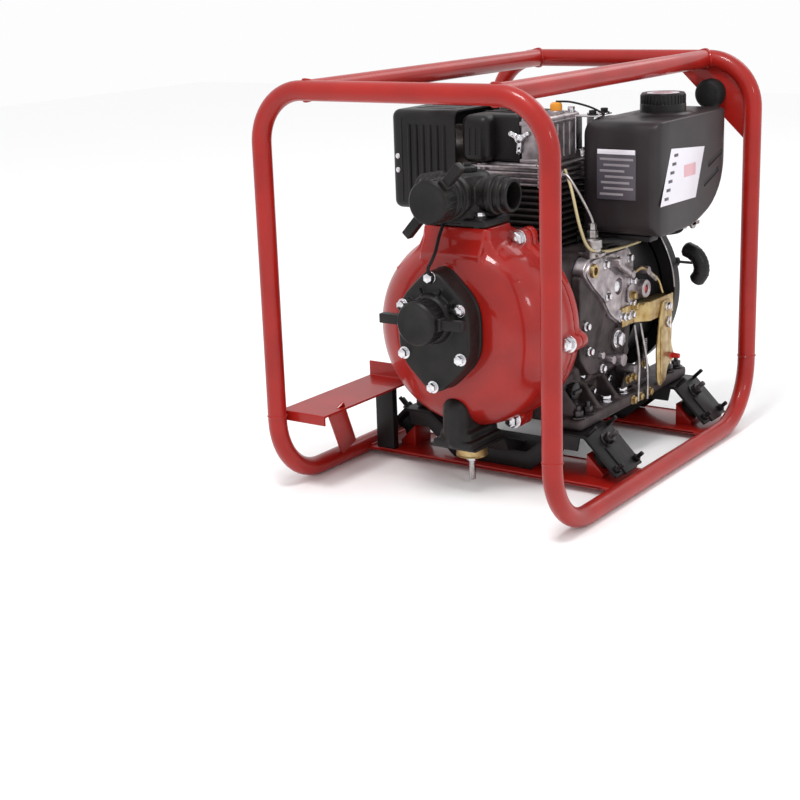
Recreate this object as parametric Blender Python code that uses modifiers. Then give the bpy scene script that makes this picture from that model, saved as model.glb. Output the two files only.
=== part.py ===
"""Portable diesel fire pump in a welded tube frame.

Metres, +Z up. The origin is on the floor under the middle of the frame. The pump's suction faces -Y,
the recoil starter faces +Y, and the fuel tank is on the +X side. The crankshaft lies along Y.
"""
import math

import bmesh
import bpy
from mathutils import Vector

# ---- driving dimensions ----
GAP = 0.0003                # clearance between neighbouring solids
TUBE_R = 0.014              # frame tube
TUBE_SIDES = 16
FRAME_W = 0.460             # between tube centres, across
FRAME_D = 0.640             # between tube centres, front to rear
FRAME_H = 0.572             # between tube centres, upright
HOOP_BEND = 0.075
RUNNER_BEND = 0.095
JOINT_Z = 0.115             # where the hoops meet the runners
RAIL_X = 0.150              # top rails, from the middle
SHEET = 0.003               # folded and flat steel sheet

CRANK_Z = 0.235             # crankshaft axis, on x = 0
CYLINDER_Y = 0.035          # cylinder axis, on x = 0
BORE_R = 0.043
STROKE = 0.070
CASE_FRONT = -0.0897        # crankcase faces along Y
CASE_REAR = 0.128
CASE_HALF = 0.105
CASE_TOP = 0.330

PUMP_BACK = -0.105          # rear face of the volute
PUMP_FRONT = -0.2120        # front face of the volute
FLANGE_FRONT = -0.250       # front face of the suction flange
NECK_Y = -0.150             # discharge neck axis
NECK_TOP = 0.388
FLANGE_Z = 0.2495           # middle of the suction flange
SUCTION_Z = 0.270           # suction spout axis, on x = 0
OUTLET_Z = 0.432            # discharge outlets' axis
OUTLET_X = 0.076            # end faces of the side outlets

FRONT_BEAM_Y = -0.058
REAR_BEAM_Y = 0.245
BEAM_WIDTH = 0.080
BEAM_TOP = 0.080

BLOWER_REAR = 0.222
RECOIL_REAR = 0.268
RECOIL_R = 0.150              # outside of the starter housing
ROPE_R = 0.0022
PULLEY_R = 0.040            # rope centre on the pulley
ROPE_Y = 0.242
TANK_LOW = Vector((0.067, 0.037, 0.352))
TANK_HIGH = Vector((0.207, 0.293, 0.516))
FILLER = Vector((0.150, 0.167, 0.516))
SWITCH = (0.163, 0.533)     # key switch axis, as x and z
SUPPORT_Y = -0.153          # bolt under the pump's foot
LEVER_PIVOT = (0.012, 0.494)       # decompression lever's axis, as x and z
SPEED_PIVOT = (0.185, 0.216)        # speed lever's axis, as y and z
EAR_ANGLES = (-5, 63, 117, 185, 248, 292)       # bolt ears round the pump's back flange, in degrees

# ---- derived dimensions ----
TUBE_FLAT = TUBE_R * math.cos(math.pi / TUBE_SIDES)     # centre of the tube to the middle of a facet
POST_X = FRAME_W / 2
POST_Y = FRAME_D / 2
TOP_Z = TUBE_FLAT + FRAME_H
INSIDE_X = POST_X - TUBE_R - GAP
ROPE_Z = CRANK_Z + PULLEY_R + 0.0005

UPRIGHT = (math.pi / 2, 0.0, 0.0)                       # a flat outline stands in the XZ plane, facing -Y
SIDEWAYS = (math.pi / 2, 0.0, math.pi / 2)              # a flat outline stands in the YZ plane, facing +X
FLAT = (0.0, 0.0, 0.0)
TO_PLUS_Y = (-math.pi / 2, 0.0, 0.0)                    # a turned shape's own +Z points along +Y
TO_MINUS_Y = (math.pi / 2, 0.0, 0.0)
TO_PLUS_X = (0.0, math.pi / 2, 0.0)

LOOKS = {                   # colour, roughness, metallic
    "red_paint": ((0.50, 0.022, 0.020), 0.35, 0.0),
    "black_paint": ((0.018, 0.018, 0.020), 0.45, 0.0),
    "black_plastic": ((0.022, 0.021, 0.023), 0.55, 0.0),
    "rubber": ((0.020, 0.020, 0.020), 0.80, 0.0),
    "cast_iron": ((0.060, 0.050, 0.052), 0.55, 0.6),
    "cast_aluminium": ((0.55, 0.52, 0.52), 0.45, 0.9),
    "steel": ((0.60, 0.60, 0.60), 0.30, 1.0),
    "zinc_yellow": ((0.62, 0.50, 0.26), 0.35, 0.9),
    "bronze": ((0.55, 0.33, 0.12), 0.40, 0.9),
}


# ---- scene and helpers ----
def clear_scene():
    for item in list(bpy.data.objects):
        bpy.data.objects.remove(item, do_unlink=True)


def new_collection(name):
    made = bpy.data.collections.new(name)
    bpy.context.scene.collection.children.link(made)
    return made


clear_scene()
PARTS = new_collection("portable_fire_pump")
CUTTERS = new_collection("cutters")


def keep_in(item, collection):
    for old in list(item.users_collection):
        old.objects.unlink(item)
    collection.objects.link(item)


def part(item, name, look):
    """Name a finished sub-part and give it its own material."""
    item.name = name
    item.data.name = name
    keep_in(item, PARTS)
    colour, roughness, metallic = LOOKS[look]
    made = bpy.data.materials.new(name)
    made.use_nodes = True
    shader = made.node_tree.nodes["Principled BSDF"]
    shader.inputs["Base Color"].default_value = (*colour, 1.0)
    shader.inputs["Roughness"].default_value = roughness
    shader.inputs["Metallic"].default_value = metallic
    item.data.materials.clear()
    item.data.materials.append(made)
    if item.type == "MESH":
        item.data.shade_smooth()
        item.data.set_sharp_from_angle(angle=math.radians(35))
    return item


def tool(item):
    """Keep a shape that only cuts or joins another one."""
    keep_in(item, CUTTERS)
    item.hide_render = True
    item.display_type = "WIRE"
    return item


def combine(target, other, operation):
    change = target.modifiers.new(operation.lower(), "BOOLEAN")
    change.operation = operation
    change.solver = "EXACT"
    change.object = tool(other)
    return target


def cut(target, *others):
    for other in others:
        combine(target, other, "DIFFERENCE")
    return target


def join(target, *others):
    for other in others:
        combine(target, other, "UNION")
    return target


def bevel(item, width, segments=2):
    rounding = item.modifiers.new("bevel", "BEVEL")
    rounding.width = width
    rounding.segments = segments
    rounding.limit_method = "ANGLE"
    return item


def box(low, high):
    low = Vector(low)
    high = Vector(high)
    bpy.ops.mesh.primitive_cube_add(size=1.0, location=(low + high) / 2)
    item = bpy.context.object
    item.scale = high - low
    bpy.ops.object.transform_apply(location=False, rotation=False, scale=True)
    return item


def rod(start, end, radius, sides=24):
    """A round bar between two points."""
    start = Vector(start)
    end = Vector(end)
    turn = (end - start).to_track_quat("Z", "Y").to_euler()
    bpy.ops.mesh.primitive_cylinder_add(
        vertices=sides, radius=radius, depth=(end - start).length,
        location=(start + end) / 2, rotation=turn)
    return bpy.context.object


def turned(profile, place, turn, steps=24, ring=False):
    """Turn (radius, height) pairs about their own Z; they run outwards and down the outer side."""
    mesh = bpy.data.meshes.new("turned")
    edges = [(index, index + 1) for index in range(len(profile) - 1)]
    if ring:
        edges.append((len(profile) - 1, 0))
    mesh.from_pydata([(radius, 0.0, height) for radius, height in profile], edges, [])
    item = bpy.data.objects.new("turned", mesh)
    CUTTERS.objects.link(item)
    screw = item.modifiers.new("screw", "SCREW")
    screw.steps = steps
    screw.render_steps = steps
    screw.use_merge_vertices = True
    screw.merge_threshold = 0.00001
    item.location = place
    item.rotation_euler = turn
    return item


def sleeve(outer, inner, low, high, place, turn, steps=24):
    """A plain ring between two radii."""
    profile = [(inner, high), (outer, high), (outer, low), (inner, low)]
    return turned(profile, place, turn, steps, ring=True)


def add_spline(curve, points, closed):
    spline = curve.splines.new("POLY")
    spline.points.add(len(points) - 1)
    for target, point in zip(spline.points, points):
        target.co = (*point, 1.0)
    spline.use_cyclic_u = closed
    return spline


def as_mesh(item):
    """Swap a curve for its mesh with the caps welded on."""
    bpy.context.view_layer.update()
    graph = bpy.context.evaluated_depsgraph_get()
    mesh = bpy.data.meshes.new_from_object(item.evaluated_get(graph))
    made = bpy.data.objects.new("welded", mesh)
    CUTTERS.objects.link(made)
    made.matrix_world = item.matrix_world.copy()
    work = bmesh.new()
    work.from_mesh(mesh)
    bmesh.ops.remove_doubles(work, verts=work.verts, dist=0.00001)
    bmesh.ops.recalc_face_normals(work, faces=work.faces)
    work.to_mesh(mesh)
    work.free()
    bpy.data.objects.remove(item, do_unlink=True)
    return made


def plate(outlines, thickness, place, turn):
    """A flat sheet centred on its place: the first outline is the rim, the others are holes."""
    curve = bpy.data.curves.new("plate", "CURVE")
    curve.dimensions = "2D"
    curve.fill_mode = "BOTH"
    curve.extrude = thickness / 2
    for outline in outlines:
        add_spline(curve, [(across, up, 0.0) for across, up in outline], True)
    item = bpy.data.objects.new("plate", curve)
    CUTTERS.objects.link(item)
    item.location = place
    item.rotation_euler = turn
    return as_mesh(item)


def tube(points, radius, resolution=2, tilt=0.0):
    """A round wire or tube along a list of points."""
    curve = bpy.data.curves.new("tube", "CURVE")
    curve.dimensions = "3D"
    curve.bevel_depth = radius
    curve.bevel_resolution = resolution
    curve.use_fill_caps = True
    spline = add_spline(curve, points, False)
    for point in spline.points:
        point.tilt = tilt
    item = bpy.data.objects.new("tube", curve)
    CUTTERS.objects.link(item)
    return as_mesh(item)


def arc(centre, radius, start, end, steps):
    """Points on a circle's arc in a plane, angles in degrees."""
    points = []
    for step in range(steps + 1):
        angle = math.radians(start + (end - start) * step / steps)
        points.append((centre[0] + radius * math.cos(angle), centre[1] + radius * math.sin(angle)))
    return points


def smooth_path(points, steps=5):
    """Points read from one smooth curve through the given ones."""
    points = [Vector(point) for point in points]
    ends = [2 * points[0] - points[1]] + points + [2 * points[-1] - points[-2]]
    path = []
    for index in range(1, len(ends) - 2):
        before, start, end, after = ends[index - 1:index + 3]
        for step in range(steps):
            t = step / steps
            path.append(0.5 * (2 * start + (end - before) * t
                               + (2 * before - 5 * start + 4 * end - after) * t * t
                               + (3 * start - before - 3 * end + after) * t ** 3))
    return path + [points[-1]]


def mirrored(half):
    """A whole outline from its right half, which runs down the +X side."""
    return half + [(-across, up) for across, up in reversed(half)]


# ---- frame ----
def hoop(name, y):
    low = JOINT_Z + GAP / 2
    inner_x = POST_X - HOOP_BEND
    inner_z = TOP_Z - HOOP_BEND
    path = [(-POST_X, low)]
    path += arc((-inner_x, inner_z), HOOP_BEND, 180, 90, 6)
    path += arc((inner_x, inner_z), HOOP_BEND, 90, 0, 6)
    path += [(POST_X, low)]
    return part(tube([(x, y, z) for x, z in path], TUBE_R, 6), name, "red_paint")


def runner(name, x):
    high = JOINT_Z - GAP / 2
    inner_y = POST_Y - RUNNER_BEND
    inner_z = TUBE_FLAT + RUNNER_BEND
    path = [(-POST_Y, high)]
    path += arc((-inner_y, inner_z), RUNNER_BEND, 180, 270, 6)
    path += arc((inner_y, inner_z), RUNNER_BEND, 270, 360, 6)
    path += [(POST_Y, high)]
    points = [(x, y, z) for y, z in path]
    return part(tube(points, TUBE_R, 6, math.pi / TUBE_SIDES), name, "red_paint")


def top_rail(name, x):
    rail = rod((x, -POST_Y, TOP_Z), (x, POST_Y, TOP_Z), TUBE_R, TUBE_SIDES)
    for y in (-POST_Y, POST_Y):
        cope = rod((x - 0.05, y, TOP_Z), (x + 0.05, y, TOP_Z), TUBE_R + 2 * GAP, 32)
        cut(rail, cope)
    return part(rail, name, "red_paint")


def cross_plate(name, y_low, y_high, beam_y):
    """The floor plate between the runners, with a ramp under each rubber mount."""
    floor = box((-INSIDE_X, y_low, 0.009), (INSIDE_X, y_high, 0.014))
    for side in (-1, 1):
        ramp = [(side * x, z) for x, z in
                ((0.1515, 0.0476), (0.1791, 0.0200), (0.1791, 0.0125), (0.1515, 0.0125))]
        join(floor, plate([ramp], 0.044, (0, beam_y, 0), UPRIGHT))
    return part(floor, name, "red_paint")


def battery_tray():
    """The folded tray with its slanted stay down to the runner, and the upright leg under it."""
    front = -POST_Y + TUBE_R + GAP
    rear = -0.080
    profile = [(front, 0.105), (front, 0.120), (rear, 0.120), (rear, 0.143), (rear + SHEET, 0.143),
               (rear + SHEET, 0.117), (front + SHEET, 0.117), (front + SHEET, 0.105)]
    tray = plate([profile], 0.080, (-0.195, 0, 0), SIDEWAYS)
    join(tray, rod((-0.165, -0.262, 0.1190), (-0.2147, -0.170, 0.0275), 0.006, 12))
    part(tray, "battery_tray", "red_paint")
    upright = box((-0.196, -0.1125, 0.014 + GAP), (-0.176, -0.1000, 0.117 - GAP))
    part(upright, "tray_leg", "black_paint")


def key_gusset():
    corner = (POST_X - HOOP_BEND, TOP_Z - HOOP_BEND)
    inside = HOOP_BEND - TUBE_R - 2 * GAP
    rim = [(0.103, corner[1] + inside)]
    rim += arc(corner, inside, 90, 0, 8)
    rim += [(corner[0] + inside, 0.464)]
    hole = arc(SWITCH, 0.0095 + GAP, 0, 345, 23)
    return part(plate([rim, hole], SHEET, (0, POST_Y, 0), UPRIGHT), "key_gusset", "red_paint")


def key_switch():
    """The switch through the gusset, with a boot in front and a bezel behind, and its key."""
    front = POST_Y - SHEET / 2 - GAP
    rear = POST_Y + SHEET / 2 + GAP
    place = (SWITCH[0], 0, SWITCH[1])
    bore = 0.0035
    body = [(0, 0.305), (bore, 0.305), (bore, rear + 0.006), (0.0120, rear + 0.006),
            (0.0145, rear + 0.003), (0.0145, rear), (0.0095, rear), (0.0095, front), (0.021, front),
            (0.023, front - 0.003), (0.023, front - 0.018), (0.019, front - 0.0225), (0, front - 0.0225)]
    part(turned(body, place, TO_PLUS_Y), "key_switch", "rubber")
    key = rod((SWITCH[0], 0.310, SWITCH[1]), (SWITCH[0], rear + 0.010, SWITCH[1]), bore - GAP * 2, 12)
    join(key, box((SWITCH[0] - 0.0015, rear + 0.0075, SWITCH[1] - 0.010),
                  (SWITCH[0] + 0.0015, rear + 0.009, SWITCH[1] + 0.010)))
    part(key, "ignition_key", "steel")


# ---- engine mounts ----
def mount_beam(name, y):
    """A folded channel, low in the middle, up under the feet and down over the rubber mounts."""
    half = [(0.060, 0.042), (0.110, BEAM_TOP), (0.158, BEAM_TOP), (0.2115, 0.0265), (0.2080, 0.0230),
            (0.1560, 0.0750), (0.1500, 0.0750), (0.1460, 0.0550), (0.1150, 0.0550),
            (0.0675, 0.014 + GAP)]
    hollow = [(0.0615, 0.0375), (0.1115, 0.0755), (0.1430, 0.0755), (0.1430, -0.01)]
    beam = plate([mirrored(half)], BEAM_WIDTH, (0, y, 0), UPRIGHT)
    cut(beam, plate([mirrored(hollow)], BEAM_WIDTH - 0.008, (0, y, 0), UPRIGHT))
    return part(beam, name, "black_paint")


def rubber_mount(name, side, y):
    """A bonded rubber bobbin, at 45 degrees between the beam and its ramp."""
    top = Vector((side * 0.18125, y, 0.04975))
    down = Vector((-side, 0, -1)).normalized()
    bobbin = rod(top + down * GAP, top + down * 0.0222, 0.017, 20)
    return part(bobbin, name, "rubber")


def pump_support():
    """The arm in front of the beam, and the cupped rubber washer and bolt that hold the pump's foot."""
    rear = FRONT_BEAM_Y
    arm = [(rear, 0.042 + GAP), (rear, 0.046), (-0.109, 0.046), (-0.122, 0.071), (-0.206, 0.071),
           (-0.206, 0.066), (-0.125, 0.066), (-0.1115, 0.042 + GAP)]
    support = plate([arm], 0.078, (0, 0, 0), SIDEWAYS)
    cut(support, rod((0, SUPPORT_Y, 0.05), (0, SUPPORT_Y, 0.09), 0.0060, 16))
    part(support, "pump_support_arm", "black_paint")
    place = (0, SUPPORT_Y, 0)
    cup = [(0.0060, 0.0655), (0.0225, 0.0655), (0.0240, 0.0640), (0.0240, 0.0450), (0.0225, 0.0435),
           (0.0060, 0.0435)]
    part(turned(cup, place, FLAT, ring=True), "pump_foot_cup", "zinc_yellow")
    bolt = [(0, 0.084), (0.005, 0.084), (0.005, 0.043), (0.009, 0.043), (0.009, 0.036), (0.005, 0.036),
            (0.005, 0.005), (0.004, 0.004), (0, 0.004)]
    part(turned(bolt, place, FLAT, 16), "pump_foot_bolt", "steel")


# ---- pump ----
def eared_outline(radius, ring, ear):
    """A circle with a round ear at each bolt, as x and z."""
    outline = []
    for step in range(72):
        angle = math.radians(5 * step)
        reach = radius
        for ear_angle in EAR_ANGLES:
            apart = angle - math.radians(ear_angle)
            across = ring * math.sin(apart)
            if math.cos(apart) > 0 and abs(across) < ear:
                reach = max(reach, ring * math.cos(apart) + math.sqrt(ear ** 2 - across ** 2))
        outline.append((reach * math.cos(angle), CRANK_Z + reach * math.sin(angle)))
    return outline


def dome_profile(extra):
    """The volute's outer side from the front face back, grown by a clearance."""
    return [(radius + extra, -y) for radius, y in
            ((0.080, PUMP_FRONT + 0.001), (0.098, -0.2090), (0.119, -0.2010), (0.136, -0.1860),
             (0.1465, -0.1660), (0.1500, -0.1440), (0.1500, PUMP_BACK - 0.001))]


def pump_volute():
    """The cast pump casing: a hollow dome with a back flange, a suction face and a discharge neck."""
    axis = (0, 0, CRANK_Z)
    outer = dome_profile(0.0)
    shell = turned([(0, outer[0][1])] + outer + [(0, outer[-1][1])], axis, TO_MINUS_Y, 32)
    join(shell, plate([eared_outline(0.1510, 0.148, 0.0135)], 0.012, (0, PUMP_BACK - 0.006, 0), UPRIGHT))
    join(shell, plate([oval_outline(0.055, 0.0940)], 0.030, (0, PUMP_FRONT + 0.015, 0), UPRIGHT))
    join(shell, box((-0.050, NECK_Y - 0.035, 0.300), (0.050, NECK_Y + 0.030, NECK_TOP)))
    cavity = [(0, 0.203), (0.092, 0.203), (0.113, 0.195), (0.129, 0.181), (0.139, 0.162),
              (0.142, 0.143), (0.142, 0.100), (0, 0.100)]
    cut(shell, turned(cavity, axis, TO_MINUS_Y, 32))
    cut(shell, box((-0.033, NECK_Y - 0.020, 0.290), (0.033, NECK_Y + 0.020, NECK_TOP + 0.01)))
    cut(shell, rod((0, -0.26, SUCTION_Z), (0, -0.18, SUCTION_Z), 0.030))
    return part(shell, "pump_volute", "red_paint")


def oval_outline(half_width, half_height):
    """The suction flange's outline: six rounded corners, one for each bolt."""
    corners = ((0, half_height), (half_width, 0.040), (half_width, -0.040),
               (0, -half_height), (-half_width, -0.040), (-half_width, 0.040))
    outline = []
    for index, (x, z) in enumerate(corners):
        before = Vector(corners[index - 1])
        here = Vector((x, z))
        after = Vector(corners[(index + 1) % 6])
        towards = (before - here).normalized() * 0.018
        away = (after - here).normalized() * 0.018
        for t in (0.0, 0.35, 0.65, 1.0):
            point = here + towards * (1 - t) ** 2 + away * t ** 2
            outline.append((point.x, FLANGE_Z + point.y))
    return list(reversed(outline))


def suction_flange():
    rear = PUMP_FRONT - GAP
    depth = rear - FLANGE_FRONT
    flange = plate([oval_outline(0.059, 0.0965)], depth, (0, rear - depth / 2, 0), UPRIGHT)
    join(flange, rod((0, rear - 0.005, SUCTION_Z), (0, -0.276, SUCTION_Z), 0.0268, 24))
    cut(flange, rod((0, -0.200, SUCTION_Z), (0, -0.320, SUCTION_Z), 0.0215, 24))
    return part(flange, "suction_flange", "black_paint")


def lugged_cap(name, centre, mouth, face, angle):
    """A blanking cap that screws over an outlet facing -Y, with two lugs at an angle in degrees."""
    x, z = centre
    wall = 0.0273
    profile = [(0, -face), (0.028, -face), (0.031, -face - 0.003), (0.031, -mouth), (wall, -mouth),
               (wall, -face - 0.006), (0, -face - 0.006)]
    cap = turned(profile, (x, 0, z), TO_MINUS_Y)
    along = Vector((math.cos(math.radians(angle)), 0, math.sin(math.radians(angle))))
    for side in (-1, 1):
        lug = box((0.0295, -0.0065, -0.0065), (0.068, 0.0065, 0.0065))
        lug.rotation_euler = along.to_track_quat("X", "Z").to_euler() if side > 0 else \
            (-along).to_track_quat("X", "Z").to_euler()
        reach = lug.location.x
        lug.location = Vector((x, (mouth + face) / 2, z)) + along * side * reach
        join(cap, lug)
    return part(cap, name, "black_paint")


def discharge_manifold():
    """The three-way head on the neck: one outlet ahead and one on each side."""
    foot = box((-0.050, NECK_Y - 0.035, NECK_TOP + GAP), (0.050, NECK_Y + 0.030, NECK_TOP + 0.012))
    join(foot, rod((0, NECK_Y, NECK_TOP + 0.005), (0, NECK_Y, 0.462), 0.034, 24))
    join(foot, rod((-OUTLET_X, NECK_Y, OUTLET_Z), (OUTLET_X, NECK_Y, OUTLET_Z), 0.024, 24))
    join(foot, rod((0, NECK_Y, OUTLET_Z), (0, -0.238, OUTLET_Z), 0.0268, 24))
    cut(foot, rod((0, NECK_Y, NECK_TOP - 0.01), (0, NECK_Y, 0.450), 0.026, 24))
    cut(foot, rod((-0.100, NECK_Y, OUTLET_Z), (0.100, NECK_Y, OUTLET_Z), 0.0190, 24))
    cut(foot, rod((0, NECK_Y, OUTLET_Z), (0, -0.260, OUTLET_Z), 0.0215, 24))
    cut(foot, rod((0, NECK_Y, 0.440), (0, NECK_Y, 0.480), 0.0100, 16))
    return part(foot, "discharge_manifold", "black_paint")


def priming_plug():
    profile = [(0, 0.474), (0.012, 0.474), (0.014, 0.472), (0.014, 0.462 + GAP), (0.0097, 0.462 + GAP),
               (0.0097, 0.452), (0, 0.452)]
    return part(turned(profile, (0, NECK_Y, 0), FLAT, 24), "priming_plug", "black_paint")


def pump_back_plate():
    back = CASE_FRONT - GAP
    front = PUMP_BACK + GAP
    rim = eared_outline(0.1490, 0.148, 0.0135)
    hole = arc((0, CRANK_Z), 0.024, 0, 350, 35)
    made = plate([rim, hole], back - front, (0, (front + back) / 2, 0), UPRIGHT)
    return part(made, "pump_back_plate", "red_paint")


def pump_internals():
    """The impeller on the shaft's end and the seal in the back plate."""
    axis = (0, 0, CRANK_Z)
    disc = [(0.0098, -0.118), (0.018, -0.118), (0.018, -0.135), (0.078, -0.140), (0.078, -0.145),
            (0.028, -0.148), (0.020, -0.170), (0.0098, -0.170)]
    impeller = turned(disc, axis, TO_PLUS_Y, 24, ring=True)
    for index in range(5):
        vane = box((0.0, -0.163, -0.002), (0.072, -0.142, 0.002))
        angle = 2 * math.pi * index / 5
        lean = angle + 0.55
        middle = Vector((math.cos(angle), 0, math.sin(angle))) * 0.043
        vane.location = Vector((0, vane.location.y, CRANK_Z)) + middle
        vane.rotation_euler = (0, -lean, 0)
        vane.scale.x = 0.78
        join(impeller, vane)
    part(impeller, "impeller", "bronze")
    seal = sleeve(0.0237, 0.0113, -0.1040, -0.0905, axis, TO_PLUS_Y)
    part(seal, "shaft_seal", "rubber")


def pump_foot():
    """The cast foot under the volute's front, hollowed to the volute's round side."""
    foot = bevel(box((-0.022, -0.224, 0.071 + GAP), (0.036, -0.128, 0.146)), 0.014, 2)
    grown = dome_profile(0.0008)
    solid = turned([(0, grown[0][1] + 0.0008)] + grown + [(0, grown[-1][1])],
                   (0, 0, CRANK_Z), TO_MINUS_Y, 32)
    cut(foot, solid)
    cut(foot, rod((0, SUPPORT_Y, 0.06), (0, SUPPORT_Y, 0.10), 0.0060, 16))
    return part(foot, "pump_foot", "black_paint")


def cap_tether():
    """The rubber strap between the manifold and the suction flange's top bolt."""
    route = [(-0.017, -0.1876, 0.392), (-0.013, -0.2050, 0.378), (-0.005, -0.2280, 0.360),
             (-0.002, -0.2440, 0.3480), (-0.001, -0.2535, 0.3420), (-0.001, -0.2530, 0.3340)]
    return part(tube(smooth_path(route, 3), 0.0022, 1), "cap_tether", "rubber")


# ---- engine ----
def crankcase():
    """The cast case: hollow, with feet along its sides, bearing holes and a cylinder seat."""
    case = box((-CASE_HALF, CASE_FRONT, 0.088), (CASE_HALF, CASE_REAR, CASE_TOP))
    for side in (-1, 1):
        low_x, high_x = sorted((side * 0.090, side * 0.146))
        join(case, box((low_x, -0.085, BEAM_TOP + GAP), (high_x, 0.275, 0.098)))
    cut(case, box((-0.092, -0.075, 0.104), (0.092, 0.115, 0.317)))
    cut(case, rod((0, -0.12, CRANK_Z), (0, 0.16, CRANK_Z), 0.030, 24))
    cut(case, rod((0, CYLINDER_Y, 0.30), (0, CYLINDER_Y, 0.34), 0.0505, 32))
    return part(case, "crankcase", "cast_iron")


def crankshaft():
    """The shaft from the impeller to the starter cup, with full-disc webs and the throw downwards."""
    axis = (0, 0, CRANK_Z)
    front = [(0, 0.010), (0.0175, 0.010), (0.0175, -0.089), (0.0110, -0.0895), (0.0110, -0.112),
             (0.0095, -0.113), (0.0095, -0.178), (0, -0.178)]
    shaft = turned(front, axis, TO_PLUS_Y, 24)
    rear = [(0, 0.190), (0.0125, 0.190), (0.0125, 0.128), (0.0175, 0.128), (0.0175, 0.060), (0, 0.060)]
    webs = ((0.009, 0.022), (0.048, 0.061))
    for low, high in webs:
        join(shaft, rod((0, low, CRANK_Z), (0, high, CRANK_Z), 0.052, 24))
    join(shaft, rod((0, 0.020, CRANK_Z - STROKE / 2), (0, 0.050, CRANK_Z - STROKE / 2), 0.016))
    join(shaft, turned(rear, axis, TO_PLUS_Y, 24))
    return part(shaft, "crankshaft", "steel")


def bearings():
    axis = (0, 0, CRANK_Z)
    for name, low, high in (("front_bearing", -0.0885, -0.0755), ("rear_bearing", 0.1155, 0.1275)):
        part(sleeve(0.0297, 0.0178, low, high, axis, TO_PLUS_Y), name, "steel")


def piston():
    crown = 0.345
    radius = BORE_R - 2 * GAP
    profile = [(0, crown), (radius - 0.001, crown), (radius, crown - 0.001), (radius, 0.297),
               (radius - 0.004, 0.297), (radius - 0.004, crown - 0.010), (0, crown - 0.010)]
    return part(turned(profile, (0, CYLINDER_Y, 0), FLAT), "piston", "cast_aluminium")


def cylinder_barrel():
    low = CASE_TOP + GAP
    barrel = box((-0.064, CYLINDER_Y - 0.070, low), (0.064, CYLINDER_Y + 0.070, 0.4247))
    join(barrel, rod((0, CYLINDER_Y, 0.312), (0, CYLINDER_Y, low + 0.005), 0.0500, 32))
    cut(barrel, rod((0, CYLINDER_Y, 0.30), (0, CYLINDER_Y, 0.44), BORE_R, 32))
    return part(barrel, "cylinder_barrel", "cast_iron")


def cylinder_head():
    head = box((-0.064, CYLINDER_Y - 0.073, 0.425), (0.064, CYLINDER_Y + 0.073, 0.4577))
    return part(bevel(head, 0.003, 1), "cylinder_head", "cast_aluminium")


def head_top():
    """The rocker cover with its plug, and the cowl beside it."""
    cover = bevel(box((-0.030, -0.020, 0.458), (0.055, 0.085, 0.525)), 0.007)
    plug = [(0, 0.541), (0.006, 0.541), (0.009, 0.537), (0.009, 0.515), (0, 0.515)]
    part(join(cover, turned(plug, (0.035, 0.045, 0), FLAT, 20)), "rocker_cover", "cast_aluminium")
    cowl = box((-0.0785, -0.045, 0.458), (-0.031, 0.125, 0.528))
    part(bevel(cowl, 0.010), "head_cowl", "black_paint")


def decompression_lever():
    """A forked lever on the rocker cover's front face."""
    x, z = LEVER_PIVOT
    arms = []
    for angle, reach, half in ((155, 0.020, 0.0040), (30, 0.018, 0.0035), (-95, 0.023, 0.0035)):
        arms.append(box((0, -0.002, -half), (reach, 0.002, half)))
        middle = Vector((math.cos(math.radians(angle)), 0, math.sin(math.radians(angle)))) * reach / 2
        arms[-1].location = Vector((x, -0.0235, z)) + middle
        arms[-1].rotation_euler = (0, -math.radians(angle), 0)
    hub = rod((x, -0.028, z), (x, -0.0203, z), 0.0065, 20)
    join(hub, *arms)
    return part(hub, "decompression_lever", "steel")


def gear_cover():
    """The cast cover over the timing gears on the tank side."""
    outline = [(-0.040, 0.175), (-0.012, 0.145), (0.060, 0.140), (0.112, 0.150), (0.122, 0.190),
               (0.122, 0.300), (0.100, 0.324), (-0.010, 0.324), (-0.040, 0.300)]
    cover = plate([outline], 0.0227, (CASE_HALF + GAP + 0.01135, 0, 0), SIDEWAYS)
    return part(bevel(cover, 0.004), "gear_cover", "cast_aluminium")


def injection():
    """The injection pump beside the cylinder and its high-pressure pipe up to the head."""
    pump = rod((0.122, -0.005, 0.324 + GAP), (0.122, -0.005, 0.352), 0.014, 20)
    join(pump, rod((0.122, -0.005, 0.350), (0.122, -0.005, 0.364), 0.008, 16))
    part(pump, "injection_pump", "steel")
    route = [(0.122, -0.005, 0.364 + GAP), (0.122, -0.006, 0.378), (0.114, -0.010, 0.398),
             (0.100, -0.010, 0.420), (0.082, -0.006, 0.4400), (0.0675, -0.004, 0.4420)]
    part(tube(smooth_path(route, 4), 0.0030, 1), "injection_pipe", "steel")


def oil_filler_plug():
    start = CASE_HALF + GAP
    profile = [(0, start + 0.018), (0.011, start + 0.018), (0.013, start + 0.015), (0.013, start + 0.006),
               (0.010, start + 0.006), (0.010, start), (0, start)]
    return part(turned(profile, (0, -0.050, 0.130), TO_PLUS_X, 24), "oil_filler_plug", "black_plastic")


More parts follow.
